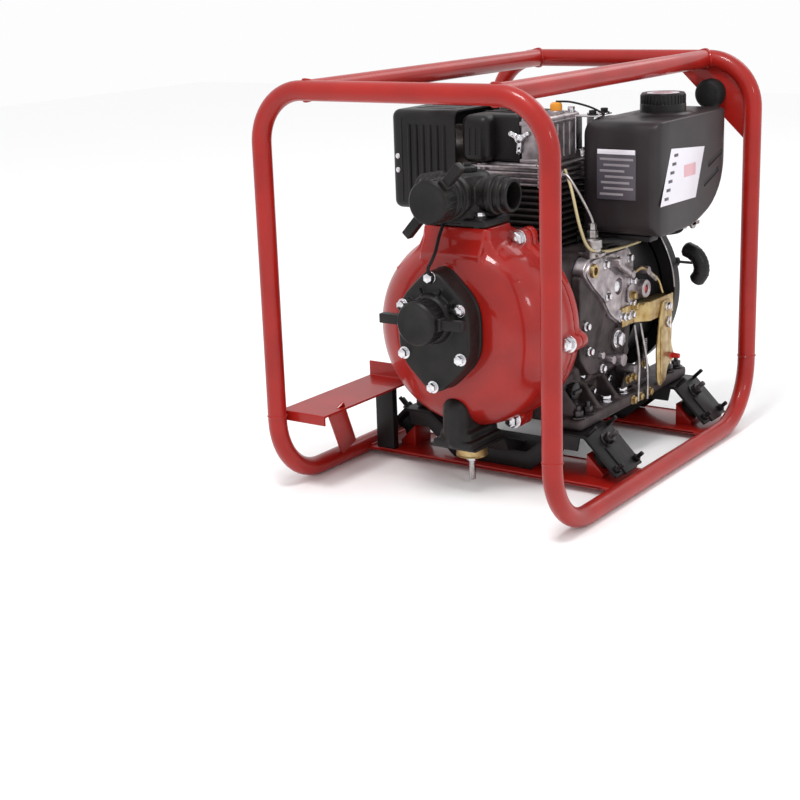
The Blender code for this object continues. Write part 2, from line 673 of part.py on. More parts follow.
def speed_control():
    """The bracket and its pin on the gear cover, and the hand speed lever with its tip."""
    inner = CASE_HALF + GAP + 0.0227 + GAP
    strip = [(inner, 0.075), (inner + SHEET, 0.075), (inner + SHEET, 0.1135), (0.149, 0.1335),
             (0.149, 0.215), (0.146, 0.215), (0.146, 0.135), (inner, 0.115)]
    bracket = plate([strip], 0.030, (0, 0, 0.217), FLAT)
    y, z = SPEED_PIVOT
    face = 0.149 + 2 * GAP + SHEET
    pin = [(0, face + 0.005), (0.007, face + 0.005), (0.007, face), (0.0040, face), (0.0040, 0.143),
           (0, 0.143)]
    join(bracket, turned(pin, (0, y, z), TO_PLUS_X, 20))
    part(bracket, "speed_bracket", "zinc_yellow")
    outline = [(y - 0.012, z + 0.010), (y - 0.020, 0.100), (y - 0.012, 0.090), (y + 0.001, 0.096),
               (y + 0.004, 0.118), (y + 0.028, 0.126), (y + 0.026, 0.137), (y + 0.006, 0.134),
               (y + 0.012, z + 0.010)]
    hole = arc((y, z), 0.0043, 0, 337.5, 15)
    lever = plate([list(reversed(outline)), hole], SHEET, (0.149 + GAP + SHEET / 2, 0, 0), SIDEWAYS)
    join(lever, rod((0.151, y + 0.022, 0.1315), (face + 0.012, y + 0.022, 0.1315), 0.0045, 16))
    part(lever, "speed_lever", "zinc_yellow")


# ---- flywheel end ----
def flywheel():
    profile = [(0.0128, 0.184), (0.034, 0.184), (0.034, 0.176), (0.112, 0.176), (0.112, 0.140),
               (0.095, 0.140), (0.095, 0.160), (0.030, 0.160), (0.030, 0.140), (0.0128, 0.140)]
    return part(turned(profile, (0, 0, CRANK_Z), TO_PLUS_Y, 28, ring=True), "flywheel", "cast_iron")


def blower_shroud():
    front = CASE_REAR + 0.0023
    profile = [(0.070, BLOWER_REAR), (0.122, BLOWER_REAR), (0.128, BLOWER_REAR - 0.006), (0.128, front),
               (0.1255, front), (0.1255, BLOWER_REAR - 0.0065), (0.121, BLOWER_REAR - 0.0025),
               (0.070, BLOWER_REAR - 0.0025)]
    shroud = turned(profile, (0, 0, CRANK_Z), TO_PLUS_Y, 24, ring=True)
    return part(shroud, "blower_shroud", "black_paint")


def recoil_cover():
    """The starter housing: a shallow dome with a post for the pulley and a hole for the rope."""
    front = BLOWER_REAR + GAP
    rear = RECOIL_REAR
    wall = 0.0025
    profile = [(0, rear), (0.085, rear), (0.120, rear - 0.006), (0.142, rear - 0.020),
               (RECOIL_R, rear - 0.032), (RECOIL_R, front), (RECOIL_R - wall, front),
               (RECOIL_R - wall, rear - 0.033), (0.140, rear - 0.0215), (0.119, rear - 0.0085),
               (0.085, rear - wall), (0.008, rear - wall), (0.008, 0.230), (0, 0.230)]
    cover = turned(profile, (0, 0, CRANK_Z), TO_PLUS_Y, 32)
    cut(cover, rod((0.120, ROPE_Y, ROPE_Z), (0.165, ROPE_Y, ROPE_Z), 0.0040, 16))
    return part(cover, "recoil_cover", "black_paint")


def recoil_starter():
    """The rope pulley inside the housing, the stored rope and its handle."""
    groove = PULLEY_R - ROPE_R
    profile = [(0.0085, 0.250), (0.046, 0.250), (0.046, 0.246), (groove, 0.245), (groove, 0.239),
               (0.046, 0.238), (0.046, 0.234), (0.0085, 0.234)]
    part(turned(profile, (0, 0, CRANK_Z), TO_PLUS_Y, 28, ring=True), "recoil_pulley", "black_plastic")
    rope = rod((-0.080, ROPE_Y, ROPE_Z), (0.1674, ROPE_Y, ROPE_Z), ROPE_R, 12)
    part(rope, "starter_rope", "rubber")
    bow = [(0.158, ROPE_Y, 0.297), (0.173, ROPE_Y, 0.290), (0.1820, ROPE_Y, 0.277),
           (0.1835, ROPE_Y, 0.262), (0.176, ROPE_Y, 0.249)]
    part(tube(smooth_path(bow, 3), 0.0125, 4), "starter_handle", "black_plastic")


# ---- fuel, exhaust and intake ----
def tank_outline(inset):
    """The tank seen from above, with a slanted front-left corner."""
    low_x = TANK_LOW.x + inset
    high_x = TANK_HIGH.x - inset
    low_y = TANK_LOW.y + inset
    high_y = TANK_HIGH.y - inset
    outline = [(low_x, low_y + 0.030), (low_x + 0.022, low_y + 0.004)]
    outline += arc((high_x - 0.020, low_y + 0.020), 0.020, 270, 360, 3)
    outline += arc((high_x - 0.022, high_y - 0.022), 0.022, 0, 90, 3)
    outline += arc((low_x + 0.022, high_y - 0.022), 0.022, 90, 180, 3)
    return outline


def tank_body(inset):
    """The tank's block with its sloping floor, drawn in from its outside by an inset."""
    low = TANK_LOW.z + inset
    high = TANK_HIGH.z - inset
    body = plate([tank_outline(inset)], high - low, (0, 0, (high + low) / 2), FLAT)
    slope = [(0.165, low - 0.03), (0.165, low), (0.230, low + 0.022), (0.300, low + 0.060),
             (0.330, low + 0.060), (0.330, low - 0.03)]
    return cut(body, plate([slope], 0.20, (0.14, 0, 0), SIDEWAYS))


def fuel_tank():
    """A moulded tank, hollow and open only at its filler neck."""
    tank = bevel(tank_body(0.0), 0.012, 2)
    join(tank, rod(FILLER - Vector((0, 0, 0.010)), FILLER + Vector((0, 0, 0.014)), 0.0280, 32))
    cut(tank, tank_body(0.004))
    cut(tank, rod(FILLER - Vector((0, 0, 0.020)), FILLER + Vector((0, 0, 0.020)), 0.0240, 24))
    return part(tank, "fuel_tank", "black_plastic")


def fuel_cap():
    low = FILLER.z + 0.003
    top = FILLER.z + 0.031
    wall = 0.0283
    profile = [(0, top), (0.0325, top), (0.0345, top - 0.003), (0.0345, low), (wall, low),
               (wall, FILLER.z + 0.014 + GAP), (0, FILLER.z + 0.014 + GAP)]
    return part(turned(profile, (FILLER.x, FILLER.y, 0), FLAT), "fuel_cap", "black_plastic")


def muffler():
    """The silencer with its inlet pipe, and its guard, which is open towards the engine."""
    guard = bevel(box((-0.200, -0.050, 0.384), (-0.079, 0.080, 0.534)), 0.012, 2)
    cut(guard, bevel(box((-0.1975, -0.0475, 0.3865), (-0.060, 0.0775, 0.5315)), 0.0095, 2))
    part(guard, "muffler_guard", "black_paint")
    barrel = bevel(rod((-0.143, -0.036, 0.459), (-0.143, 0.066, 0.459), 0.044, 28), 0.006)
    join(barrel, rod((-0.1200, 0.020, 0.4415), (-0.0645, 0.020, 0.4415), 0.0145, 20))
    part(barrel, "muffler_barrel", "steel")


def air_intake():
    """The air cleaner case with its elbow into the head."""
    case = bevel(box((-0.200, 0.0955, 0.365), (-0.095, 0.205, 0.515)), 0.010, 2)
    bend = [(-0.105, 0.138), (-0.070, 0.138)]
    bend += arc((-0.060, 0.128), 0.010, 90, 0, 3)
    bend += [(-0.050, 0.1105)]
    route = [(x, y, 0.441) for x, y in bend]
    join(case, tube(route, 0.0115, 4))
    part(case, "air_cleaner", "black_plastic")


def build_frame():
    hoop("front_hoop", -POST_Y)
    hoop("rear_hoop", POST_Y)
    runner("left_runner", -POST_X)
    runner("right_runner", POST_X)
    top_rail("left_top_rail", -RAIL_X)
    top_rail("right_top_rail", RAIL_X)
    cross_plate("front_cross_plate", -0.115, -0.010, FRONT_BEAM_Y)
    cross_plate("rear_cross_plate", 0.195, 0.295, REAR_BEAM_Y)
    battery_tray()
    key_gusset()
    key_switch()


def build_mounts():
    mount_beam("front_mount_beam", FRONT_BEAM_Y)
    mount_beam("rear_mount_beam", REAR_BEAM_Y)
    for end, y in (("front", FRONT_BEAM_Y), ("rear", REAR_BEAM_Y)):
        for side_name, side in (("left", -1), ("right", 1)):
            rubber_mount(f"rubber_mount_{end}_{side_name}", side, y)
    pump_support()


def build_pump():
    pump_volute()
    pump_back_plate()
    pump_internals()
    pump_foot()
    suction_flange()
    lugged_cap("suction_cap", (0, SUCTION_Z), -0.256, -0.292, 180)
    discharge_manifold()
    lugged_cap("discharge_cap", (0, OUTLET_Z), -0.220, -0.254, 228)
    priming_plug()
    cap_tether()


def build_engine():
    crankcase()
    crankshaft()
    bearings()
    piston()
    cylinder_barrel()
    cylinder_head()
    head_top()
    decompression_lever()
    gear_cover()
    injection()
    oil_filler_plug()
    speed_control()
    flywheel()
    blower_shroud()
    recoil_cover()
    recoil_starter()
    fuel_tank()
    fuel_cap()
    muffler()
    air_intake()


build_frame()
build_mounts()
build_pump()
build_engine()
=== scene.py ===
"""Portable diesel fire pump: its finished surfaces and fine pieces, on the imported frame.

Metres, +Z up. The pump's suction faces -Y, the starter +Y, the fuel tank +X and the exhaust -X.
"""
import math

import bmesh
import bpy
from mathutils import Euler, Matrix, Vector


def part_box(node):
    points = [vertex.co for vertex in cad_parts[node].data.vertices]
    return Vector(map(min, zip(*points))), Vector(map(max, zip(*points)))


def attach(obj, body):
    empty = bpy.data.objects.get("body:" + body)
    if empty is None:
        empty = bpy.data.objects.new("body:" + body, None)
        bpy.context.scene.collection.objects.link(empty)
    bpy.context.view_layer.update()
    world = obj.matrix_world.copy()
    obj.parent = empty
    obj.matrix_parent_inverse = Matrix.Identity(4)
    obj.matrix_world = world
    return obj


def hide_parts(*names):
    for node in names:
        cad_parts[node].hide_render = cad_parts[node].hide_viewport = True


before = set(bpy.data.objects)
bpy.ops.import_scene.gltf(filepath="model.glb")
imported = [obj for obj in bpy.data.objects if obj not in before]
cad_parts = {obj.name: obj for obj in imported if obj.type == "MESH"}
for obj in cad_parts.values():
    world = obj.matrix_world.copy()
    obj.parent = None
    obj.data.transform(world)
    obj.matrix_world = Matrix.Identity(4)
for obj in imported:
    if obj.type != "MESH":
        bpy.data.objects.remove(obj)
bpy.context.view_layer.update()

UNIT = "framed_unit"                    # the body of everything that stays still


# ---- camera ----
def make_camera():
    data = bpy.data.cameras.new("camera")
    data.lens = 70.47
    data.sensor_width = 36.0
    camera = bpy.data.objects.new("camera", data)
    bpy.context.scene.collection.objects.link(camera)
    level = Euler((math.radians(90 - 15.76), 0, math.radians(35.23))).to_matrix()
    roll = Matrix.Rotation(math.radians(-2.02), 3, "Z")
    camera.matrix_world = Matrix.Translation((1.1889, -2.0164, 0.7544)) @ (level @ roll).to_4x4()
    bpy.context.scene.camera = camera


make_camera()


# ---- sizes read from the frame ----
def span(node):
    """A CAD node's lowest and highest corners."""
    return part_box(node)


def middle(node):
    low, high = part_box(node)
    return (low + high) / 2


HOOP_LOW, HOOP_HIGH = span("front_hoop")
TUBE_R = (HOOP_HIGH.y - HOOP_LOW.y) / 2
POST_X = HOOP_HIGH.x - TUBE_R
POST_Y = -(HOOP_LOW.y + TUBE_R)
TOP_Z = HOOP_HIGH.z - TUBE_R
JOINT_Z = HOOP_LOW.z
FLOOR_R = span("left_runner")[1].z          # the runners' posts end here
HOOP_BEND = 0.075
RUNNER_BEND = 0.095
RAIL_X = middle("right_top_rail").x
CRANK = middle("flywheel")                  # on the crankshaft's axis
CYL = middle("cylinder_barrel")
SUCTION = middle("suction_cap")
OUTLET = middle("discharge_cap")
NECK = middle("priming_plug")
TANK_LOW, TANK_HIGH = span("fuel_tank")
TANK_TOP = 0.516                            # the moulding's top, below its neck
FILLER = middle("fuel_cap")
SWITCH = middle("key_switch")
FOOT_BOLT = middle("pump_foot_bolt")
EARS = (-5, 63, 117, 185, 248, 292)         # the pump's bolt ears, in degrees
EAR_RING = 0.148

BACK = -1                                   # signs, for pairs of pieces
FORTH = 1
UP = (0, 0, 1)                              # axes to stand a shape on
AHEAD = (0, -1, 0)
BEHIND = (0, 1, 0)
OUTSIDE = (1, 0, 0)                         # the tank's side
ALONG_Y = Vector((0, 1, 0))
DRAWN_IN = 0.0055                           # how far the volute's skin lies inside its plain solid


# ---- materials ----
def linear(code):
    """An sRGB hex value as linear colour with alpha."""
    channels = [int(code[index:index + 2], 16) / 255 for index in (1, 3, 5)]
    straight = [c / 12.92 if c <= 0.04045 else ((c + 0.055) / 1.055) ** 2.4 for c in channels]
    return (*straight, 1.0)


def add_node(tree, kind, settings=(), links=()):
    """Add a node, with (name, value) settings and (socket, source) links."""
    made = tree.nodes.new(kind)
    for name, value in settings:
        if isinstance(name, int) or name in made.inputs:
            made.inputs[name].default_value = value
        else:
            setattr(made, name, value)
    for socket, source in links:
        tree.links.new(source, made.inputs[socket])
    return made


def clouds(tree, size_mm, detail=4.0):
    """Soft noise whose patches have a real size."""
    place = add_node(tree, "ShaderNodeTexCoord").outputs["Object"]
    return add_node(tree, "ShaderNodeTexNoise", [("Scale", 1000 / size_mm), ("Detail", detail)],
                    [("Vector", place)]).outputs[0]


def two_tone(made, first, second, size_mm, low=0.35, high=0.65):
    """Vary the colour between two in soft patches."""
    tree = made.node_tree
    share = add_node(tree, "ShaderNodeMapRange", [("From Min", low), ("From Max", high)],
                     [("Value", clouds(tree, size_mm))])
    mix = add_node(tree, "ShaderNodeMix", [("data_type", "RGBA"), (6, linear(first)), (7, linear(second))],
                   [(0, share.outputs[0])])
    tree.links.new(mix.outputs[2], tree.nodes["Principled BSDF"].inputs["Base Color"])


def uneven_gloss(made, low, high, size_mm):
    """Vary the roughness, as handling and dust do."""
    tree = made.node_tree
    gloss = add_node(tree, "ShaderNodeMapRange", [("To Min", low), ("To Max", high)],
                     [("Value", clouds(tree, size_mm))])
    tree.links.new(gloss.outputs[0], tree.nodes["Principled BSDF"].inputs["Roughness"])


def relief(made, layers):
    """Bump from noise layers, each a grain size and a depth in millimetres."""
    tree = made.node_tree
    under = None
    for size_mm, depth_mm in layers:
        links = [("Height", clouds(tree, size_mm, 3.0))]
        if under is not None:
            links.append(("Normal", under))
        under = add_node(tree, "ShaderNodeBump", [("Strength", 0.6), ("Distance", depth_mm / 1000)],
                         links).outputs[0]
    tree.links.new(under, tree.nodes["Principled BSDF"].inputs["Normal"])


def finish(name, slot, colour, roughness, metallic=0.0, tones=None, gloss=None, grain=(), **sockets):
    """A material: its uniform values on the shader's sockets, then what varies over it."""
    made = bpy.data.materials.new(name)
    made.use_nodes = True
    made.diffuse_color = linear(colour)
    shader = made.node_tree.nodes["Principled BSDF"]
    values = {"Base Color": linear(colour), "Roughness": roughness, "Metallic": metallic}
    values.update((socket.replace("_", " "), value) for socket, value in sockets.items())
    for socket, value in values.items():
        shader.inputs[socket].default_value = value
    if tones:
        two_tone(made, *tones)
    if gloss:
        uneven_gloss(made, *gloss)
    if grain:
        relief(made, grain)
    return made


def smooth_film(name, colour, slot="black_plastic"):
    """Printed film, dipped plastic or a lacquered pipe: smooth, with a slight sheen."""
    return finish(name, slot, colour, 0.32, grain=[(8.0, 0.01)], IOR=1.49)


# Stove enamel on steel tube: a hard gloss coat with a faint orange peel.
RED = finish("red_stove_enamel", "red_painted_steel", "#96170f", 0.4, 0.0, ("#90150e", "#9d1911", 60),
             grain=[(5.0, 0.05), (0.9, 0.012)], Specular_IOR_Level=0.22, Coat_Weight=0.35, Coat_Roughness=0.08)
# The same red sprayed on a sand casting: the paint softens a coarse skin.
RED_CAST = finish("red_paint_on_casting", "red_painted_casting", "#94160f", 0.36, 0.0,
                  ("#8d140d", "#9b1810", 45), grain=[(9.0, 0.1), (1.6, 0.035)], Specular_IOR_Level=0.22,
                  Coat_Weight=0.5, Coat_Roughness=0.07)
# Powder coat on pressed steel: satin, with a pebbled skin.
BLACK = finish("black_powder_coat", "black_painted_steel", "#131112", 0.44, 0.0, ("#100e0f", "#191617", 50),
               (0.34, 0.5, 30), [(1.2, 0.04)], Specular_IOR_Level=0.28)
# Black paint on a cast iron fitting: satin over a grainy skin.
BLACK_CAST = finish("black_paint_on_casting", "black_painted_steel", "#141211", 0.42, 0.0,
                    ("#100e0e", "#1b1817", 22), (0.34, 0.55, 18), [(4.0, 0.1), (1.2, 0.05)],
                    Specular_IOR_Level=0.28)
# Dark moulded nylon, as on the tank: a low sheen with a fine spark texture.
NYLON = finish("moulded_nylon", "black_plastic", "#272124", 0.38, 0.0, ("#211b1d", "#292325", 70),
               (0.35, 0.47, 40), [(1.0, 0.035)], IOR=1.53, Specular_IOR_Level=0.35)
# Black moulded ABS for caps and grips.
ABS = finish("moulded_abs", "black_plastic", "#0f0e0f", 0.36, 0.0, ("#0d0b0d", "#151214", 25),
             grain=[(0.8, 0.02)], IOR=1.54, Specular_IOR_Level=0.3)
# Vulcanised rubber: matt black with a dusty bloom.
RUBBER = finish("vulcanised_rubber", "black_rubber", "#0e0d0d", 0.72, 0.0, ("#0c0b0b", "#171515", 12),
                grain=[(1.5, 0.05)], IOR=1.52, Specular_IOR_Level=0.3)
# Dull sand-cast aluminium of the crankcase, stained by oil and dust.
CASE = finish("sand_cast_aluminium", "dark_aluminium_casting", "#3d3334", 0.5, 0.55,
              ("#2c2324", "#4d4344", 28, 0.3, 0.7), (0.42, 0.62, 16), [(5.0, 0.14), (1.4, 0.09)])
# Bright die-cast aluminium: a smooth silver skin with darker flow marks.
SILVER = finish("die_cast_aluminium", "bright_aluminium_casting", "#aaa1a4", 0.34, 0.85,
                ("#867d80", "#bab2b4", 14, 0.3, 0.7), (0.26, 0.44, 10), [(3.0, 0.05), (1.0, 0.03)])
# Grey cast iron of the barrel and flywheel: dark, rough and slightly rusty.
IRON = finish("grey_cast_iron", "grey_casting", "#2b2626", 0.6, 0.5, ("#231e1e", "#352e2c", 16),
              grain=[(1.6, 0.12)])
# Bright zinc plate on bolts and nuts.
ZINC = finish("bright_zinc_plate", "steel", "#d6d5d8", 0.2, 1.0, ("#c9c8cc", "#e2e1e4", 6), grain=[(1.5, 0.01)])
# Oiled black oxide on the mounts' bolts and nuts: dark, with a soft metal sheen.
DARK_STEEL = finish("black_oxide_steel", "steel", "#3a3637", 0.35, 0.9, ("#2c292a", "#575253", 8))
# Yellow passivated zinc plate, with its tint drifting from gold to olive.
GOLD = finish("yellow_zinc_plate", "zinc_yellow", "#b59a66", 0.33, 0.85, ("#9c7f4c", "#c8b383", 12, 0.3, 0.7),
              grain=[(2.0, 0.02)])
# Chrome plate on the small levers, the key's bezel and the pump's foot bolt.
CHROME = finish("chrome_plate", "chrome", "#dcdcdf", 0.1, 1.0, grain=[(4.0, 0.01)])
# Drawn steel of pipes and shafts, with a faint drawn grain.
STEEL = finish("drawn_steel", "steel", "#a5a09f", 0.3, 1.0, ("#918b8a", "#b5b0af", 10), grain=[(1.0, 0.02)])
# Aluminised sheet of the silencer, browned by heat.
HOT_STEEL = finish("aluminised_steel", "steel", "#8d8480", 0.42, 0.9, ("#6b5f58", "#9d9692", 30),
                   grain=[(1.2, 0.03)])
# Gunmetal of the impeller, as cast.
BRONZE = finish("gunmetal_bronze", "bronze", "#a67c45", 0.4, 0.9, ("#8b6537", "#b58b52", 12),
                grain=[(1.5, 0.05)])
# Braided starter cord; the strands are drawn at 1.5 mm so that they show.
CORD = finish("braided_cord", "black_rubber", "#2a2828", 0.8, 0.0, ("#1f1d1d", "#4a4746", 1.5, 0.4, 0.6),
              grain=[(1.5, 0.15)], Sheen_Weight=0.3)
WHITE_FILM = smooth_film("white_printed_film", "#e4e0e8")
STRAW = smooth_film("straw_plated_pipe", "#b3a47c", "zinc_yellow")
GREY_FILM = smooth_film("grey_printed_film", "#8d878c")
PALE_RED_FILM = smooth_film("pale_red_printed_film", "#d9a9b0")
DARK_FILM = smooth_film("dark_printed_film", "#4a464e")
YELLOW_FILM = smooth_film("yellow_printed_film", "#d9b62c")
ORANGE = smooth_film("orange_moulded_plastic", "#dd8f22")
RED_TIP = smooth_film("red_dipped_plastic", "#b41a16")


# ---- shapes ----
def outward(shape):
    bmesh.ops.recalc_face_normals(shape, faces=shape.faces)
    return shape


def stand(place, axis, spin=0.0):
    """The matrix that stands a shape's own +Z along an axis at a place."""
    turn = Vector(axis).to_track_quat("Z", "Y").to_matrix().to_4x4()
    return Matrix.Translation(place) @ turn @ Matrix.Rotation(spin, 4, "Z")


def facing_front(y):
    """For an outline of x and z; its thickness runs from y towards -Y."""
    return spun((0, y, 0), math.pi / 2, "X")


def facing_side(x):
    """For an outline of y and z; its thickness runs from x towards +X."""
    return spun((x, 0, 0), math.pi / 2, "Z") @ Matrix.Rotation(math.pi / 2, 4, "X")


def facing_up(z):
    """For an outline of x and y; its thickness runs from z upwards."""
    return Matrix.Translation((0, 0, z))


def spun(place, angle, axis):
    """The matrix that turns a shape about an axis and moves it to a place."""
    return Matrix.Translation(place) @ Matrix.Rotation(angle, 4, axis)


def moved(shape, matrix):
    bmesh.ops.transform(shape, matrix=matrix, verts=shape.verts)
    return shape


def eased(shape, width, segments=3, angle=30):
    """Round every edge that turns by more than an angle."""
    sharp = [edge for edge in shape.edges
             if len(edge.link_faces) == 2 and edge.calc_face_angle(0) > math.radians(angle)]
    bmesh.ops.bevel(shape, geom=sharp, offset=width, offset_type="OFFSET", affect="EDGES", segments=segments,
                    profile=0.5, material=-1, clamp_overlap=True)
    return shape


def block(low, high, rounding=0.0, segments=3):
    low = Vector(low)
    high = Vector(high)
    shape = bmesh.new()
    fit = Matrix.Translation((low + high) / 2) @ Matrix.Diagonal((*(high - low), 1.0))
    bmesh.ops.create_cube(shape, size=1.0, matrix=fit)
    return eased(shape, rounding, segments) if rounding else shape


def drum(start, end, radius, end_radius=None, sides=48, rounding=0.0, segments=3):
    """A round bar, or a cone when the end's radius differs."""
    start = Vector(start)
    end = Vector(end)
    shape = bmesh.new()
    bmesh.ops.create_cone(shape, cap_ends=True, segments=sides, radius1=radius,
                          radius2=radius if end_radius is None else end_radius, depth=(end - start).length,
                          matrix=stand((start + end) / 2, end - start))
    return eased(shape, rounding, segments, 70) if rounding else shape


def rounded(points, reach, steps=5, closed=False):
    """A flat path or outline with each corner turned into a curve that starts a reach before it."""
    points = [Vector(point) for point in points]
    count = len(points)
    path = []
    for index, point in enumerate(points):
        if not closed and index in (0, count - 1):
            path.append(point)
            continue
        before = points[index - 1] - point
        after = points[(index + 1) % count] - point
        cut = min(reach, before.length * 0.48, after.length * 0.48)
        start = before.normalized() * cut
        end = after.normalized() * cut
        for step in range(steps + 1):
            t = step / steps
            path.append(point + start * (1 - t) ** 2 + end * t ** 2)
    return [tuple(point) for point in path]


def arc(centre, radius, start, end, steps):
    """Points on an arc in two coordinates, from one angle to another in degrees."""
    turns = [math.radians(start + (end - start) * step / steps) for step in range(steps + 1)]
    return [(centre[0] + radius * math.cos(turn), centre[1] + radius * math.sin(turn)) for turn in turns]


def turned(profile, place=(0, 0, 0), axis=(0, 0, 1), steps=64, closed=False):
    """Spin (radius, height) pairs about an axis through a place."""
    shape = bmesh.new()
    dots = [shape.verts.new((radius, 0, height)) for radius, height in profile]
    lines = [shape.edges.new(pair) for pair in zip(dots, dots[1:])]
    if closed:
        lines.append(shape.edges.new((dots[-1], dots[0])))
    bmesh.ops.spin(shape, geom=dots + lines, cent=(0, 0, 0), axis=(0, 0, 1), dvec=(0, 0, 0), angle=2 * math.pi,
                   steps=steps, use_merge=True, use_duplicate=False)
    bmesh.ops.remove_doubles(shape, verts=shape.verts, dist=0.000001)
    return outward(moved(shape, stand(place, axis)))


def slab(outline, thickness, matrix, rounding=0.0, holes=(), segments=2):
    """A flat sheet from an outline of two coordinates, with holes."""
    shape = bmesh.new()
    for loop in (outline, *holes):
        dots = [shape.verts.new((point[0], point[1], 0)) for point in loop]
        for first, second in zip(dots, dots[1:] + dots[:1]):
            shape.edges.new((first, second))
    if holes:
        bmesh.ops.triangle_fill(shape, use_beauty=True, use_dissolve=True, edges=shape.edges)
    else:
        bmesh.ops.contextual_create(shape, geom=shape.edges[:])
    made = bmesh.ops.extrude_face_region(shape, geom=shape.faces[:])
    raised = [item for item in made["geom"] if isinstance(item, bmesh.types.BMVert)]
    bmesh.ops.translate(shape, vec=(0, 0, thickness), verts=raised)
    outward(shape)
    if rounding:
        eased(shape, rounding, segments, 60)
    return outward(moved(shape, matrix))


def pipe(path, radius, sides=24, closed=False, squash=1.0):
    """A round bar swept along a path; squash flattens its section along its own Y."""
    path = [Vector(point) for point in path]
    shape = bmesh.new()
    if closed:
        aims = [path[(index + 1) % len(path)] - path[index - 1] for index in range(len(path))]
    else:
        ends = [path[0]] + path + [path[-1]]
        aims = [ends[index + 2] - ends[index] for index in range(len(path))]
    ring = bmesh.ops.create_circle(shape, cap_ends=not closed, segments=sides, radius=radius)["verts"]
    bmesh.ops.scale(shape, vec=(1, squash, 1), verts=ring)
    bmesh.ops.transform(shape, matrix=stand(path[0], aims[0]), verts=ring)
    rim = [edge for edge in shape.edges]
    first = rim
    for index in range(1, len(path)):
        made = bmesh.ops.extrude_edge_only(shape, edges=rim)["geom"]
        ring = [item for item in made if isinstance(item, bmesh.types.BMVert)]
        rim = [item for item in made if isinstance(item, bmesh.types.BMEdge)]
        turn = aims[index - 1].rotation_difference(aims[index]).to_matrix().to_4x4()
        bmesh.ops.transform(shape, verts=ring,
                            matrix=Matrix.Translation(path[index])
                            @ turn @ Matrix.Translation(-path[index - 1]))
    if closed:
        bmesh.ops.bridge_loops(shape, edges=first + rim)
    else:
        bmesh.ops.edgeloop_fill(shape, edges=rim)
    return outward(shape)


def curve_through(points, steps=6):
    """A smooth path through points."""
    points = [Vector(point) for point in points]
    ends = [2 * points[0] - points[1]] + points + [2 * points[-1] - points[-2]]
    path = []
    for index in range(1, len(ends) - 2):
        before, start, end, after = ends[index - 1:index + 3]
        for step in range(steps):
            t = step / steps
            path.append(0.5 * (2 * start
                               + (end - before) * t
                               + (2 * before - 5 * start + 4 * end - after) * t * t
                               + (3 * start - before - 3 * end + after) * t ** 3))
    return path + [points[-1]]


def knurled(count, place, axis, low, high, rounding, segments=3):
    """Small ribs evenly round an axis, each a block as it lies at the start."""
    return [moved(block(low, high, rounding, segments),
                  spun(place, 2 * math.pi * step / count, axis)) for step in range(count)]


def ring_places(count, radius, place, axis, start=0.0):
    """Places evenly round an axis, starting at an angle in degrees."""
    frame_of = stand(place, axis)
    turns = [math.radians(start + 360 * index / count) for index in range(count)]
    return [frame_of @ Vector((radius * math.cos(turn), radius * math.sin(turn), 0)) for turn in turns]


def bolt(place, axis, flats=0.013, height=0.008, washer=0.0, stud=0.0):
    """A hexagon head or nut, with an optional washer under it and a stud through it."""
    place = Vector(place)
    axis = Vector(axis).normalized()
    thick = 0.0016 if washer else 0.0
    base = place + axis * thick
    made = [drum(base - axis * 0.0005, base + axis * height, flats / math.sqrt(3), sides=6,
                 rounding=flats * 0.07, segments=2)]
    if washer:
        made.append(drum(place - axis * 0.0005, place + axis * thick, washer, rounding=0.0004, sides=40))
    if stud:
        made += thread(base + axis * height * 0.9, base + axis * (height + stud), flats * 0.28)
    return made


def bolts(places, axis, *sizes):
    """The same bolt at several places."""
    return [shape for place in places for shape in bolt(place, axis, *sizes)]


def thread(start, end, radius, pitch=0.0014):
    """A stud whose thread is drawn as close rings."""
    start = Vector(start)
    end = Vector(end)
    length = (end - start).length
    turns = max(2, int(length / pitch))
    step = length / turns
    profile = [(0, 0)]
    for turn in range(turns):
        profile += [(radius * 0.9, turn * step + step * 0.1), (radius, turn * step + step * 0.5),
                    (radius * 0.9, turn * step + step * 0.9)]
    profile.append((0, length))
    return [turned(profile, start, end - start, 20)]


def gathered(shapes, name):
    """Several shapes in one mesh."""
    whole = bmesh.new()
    for shape in shapes:
        step = bpy.data.meshes.new(name)
        shape.to_mesh(step)
        shape.free()
        whole.from_mesh(step)
        bpy.data.meshes.remove(step)
    mesh = bpy.data.meshes.new(name)
    whole.to_mesh(mesh)
    whole.free()
    return mesh


def worked(shapes, voxel=0.0, passes=0, cutters=()):
    """Shapes joined like a casting, with a fillet wherever they meet, and then drilled."""
    scene = bpy.context.scene.collection
    item = bpy.data.objects.new("work", gathered(shapes, "work"))
    scene.objects.link(item)
    if voxel:
        skin = item.modifiers.new("skin", "REMESH")
        skin.mode = "VOXEL"
        skin.voxel_size = voxel
        soft = item.modifiers.new("soft", "SMOOTH")
        soft.factor = 0.5
        soft.iterations = passes
    tools = []
    for cutter in cutters:
        tool = bpy.data.objects.new("cutter", gathered([cutter], "cutter"))
        scene.objects.link(tool)
        hole = item.modifiers.new("hole", "BOOLEAN")
        hole.operation = "DIFFERENCE"
        hole.solver = "EXACT"
        hole.object = tool
        tools.append(tool)
    bpy.context.view_layer.update()
    mesh = bpy.data.meshes.new_from_object(item.evaluated_get(bpy.context.evaluated_depsgraph_get()))
    shape = bmesh.new()
    shape.from_mesh(mesh)
    for done in tools + [item]:
        spent = done.data
        bpy.data.objects.remove(done)
        bpy.data.meshes.remove(spent)
    bpy.data.meshes.remove(mesh)
    return shape


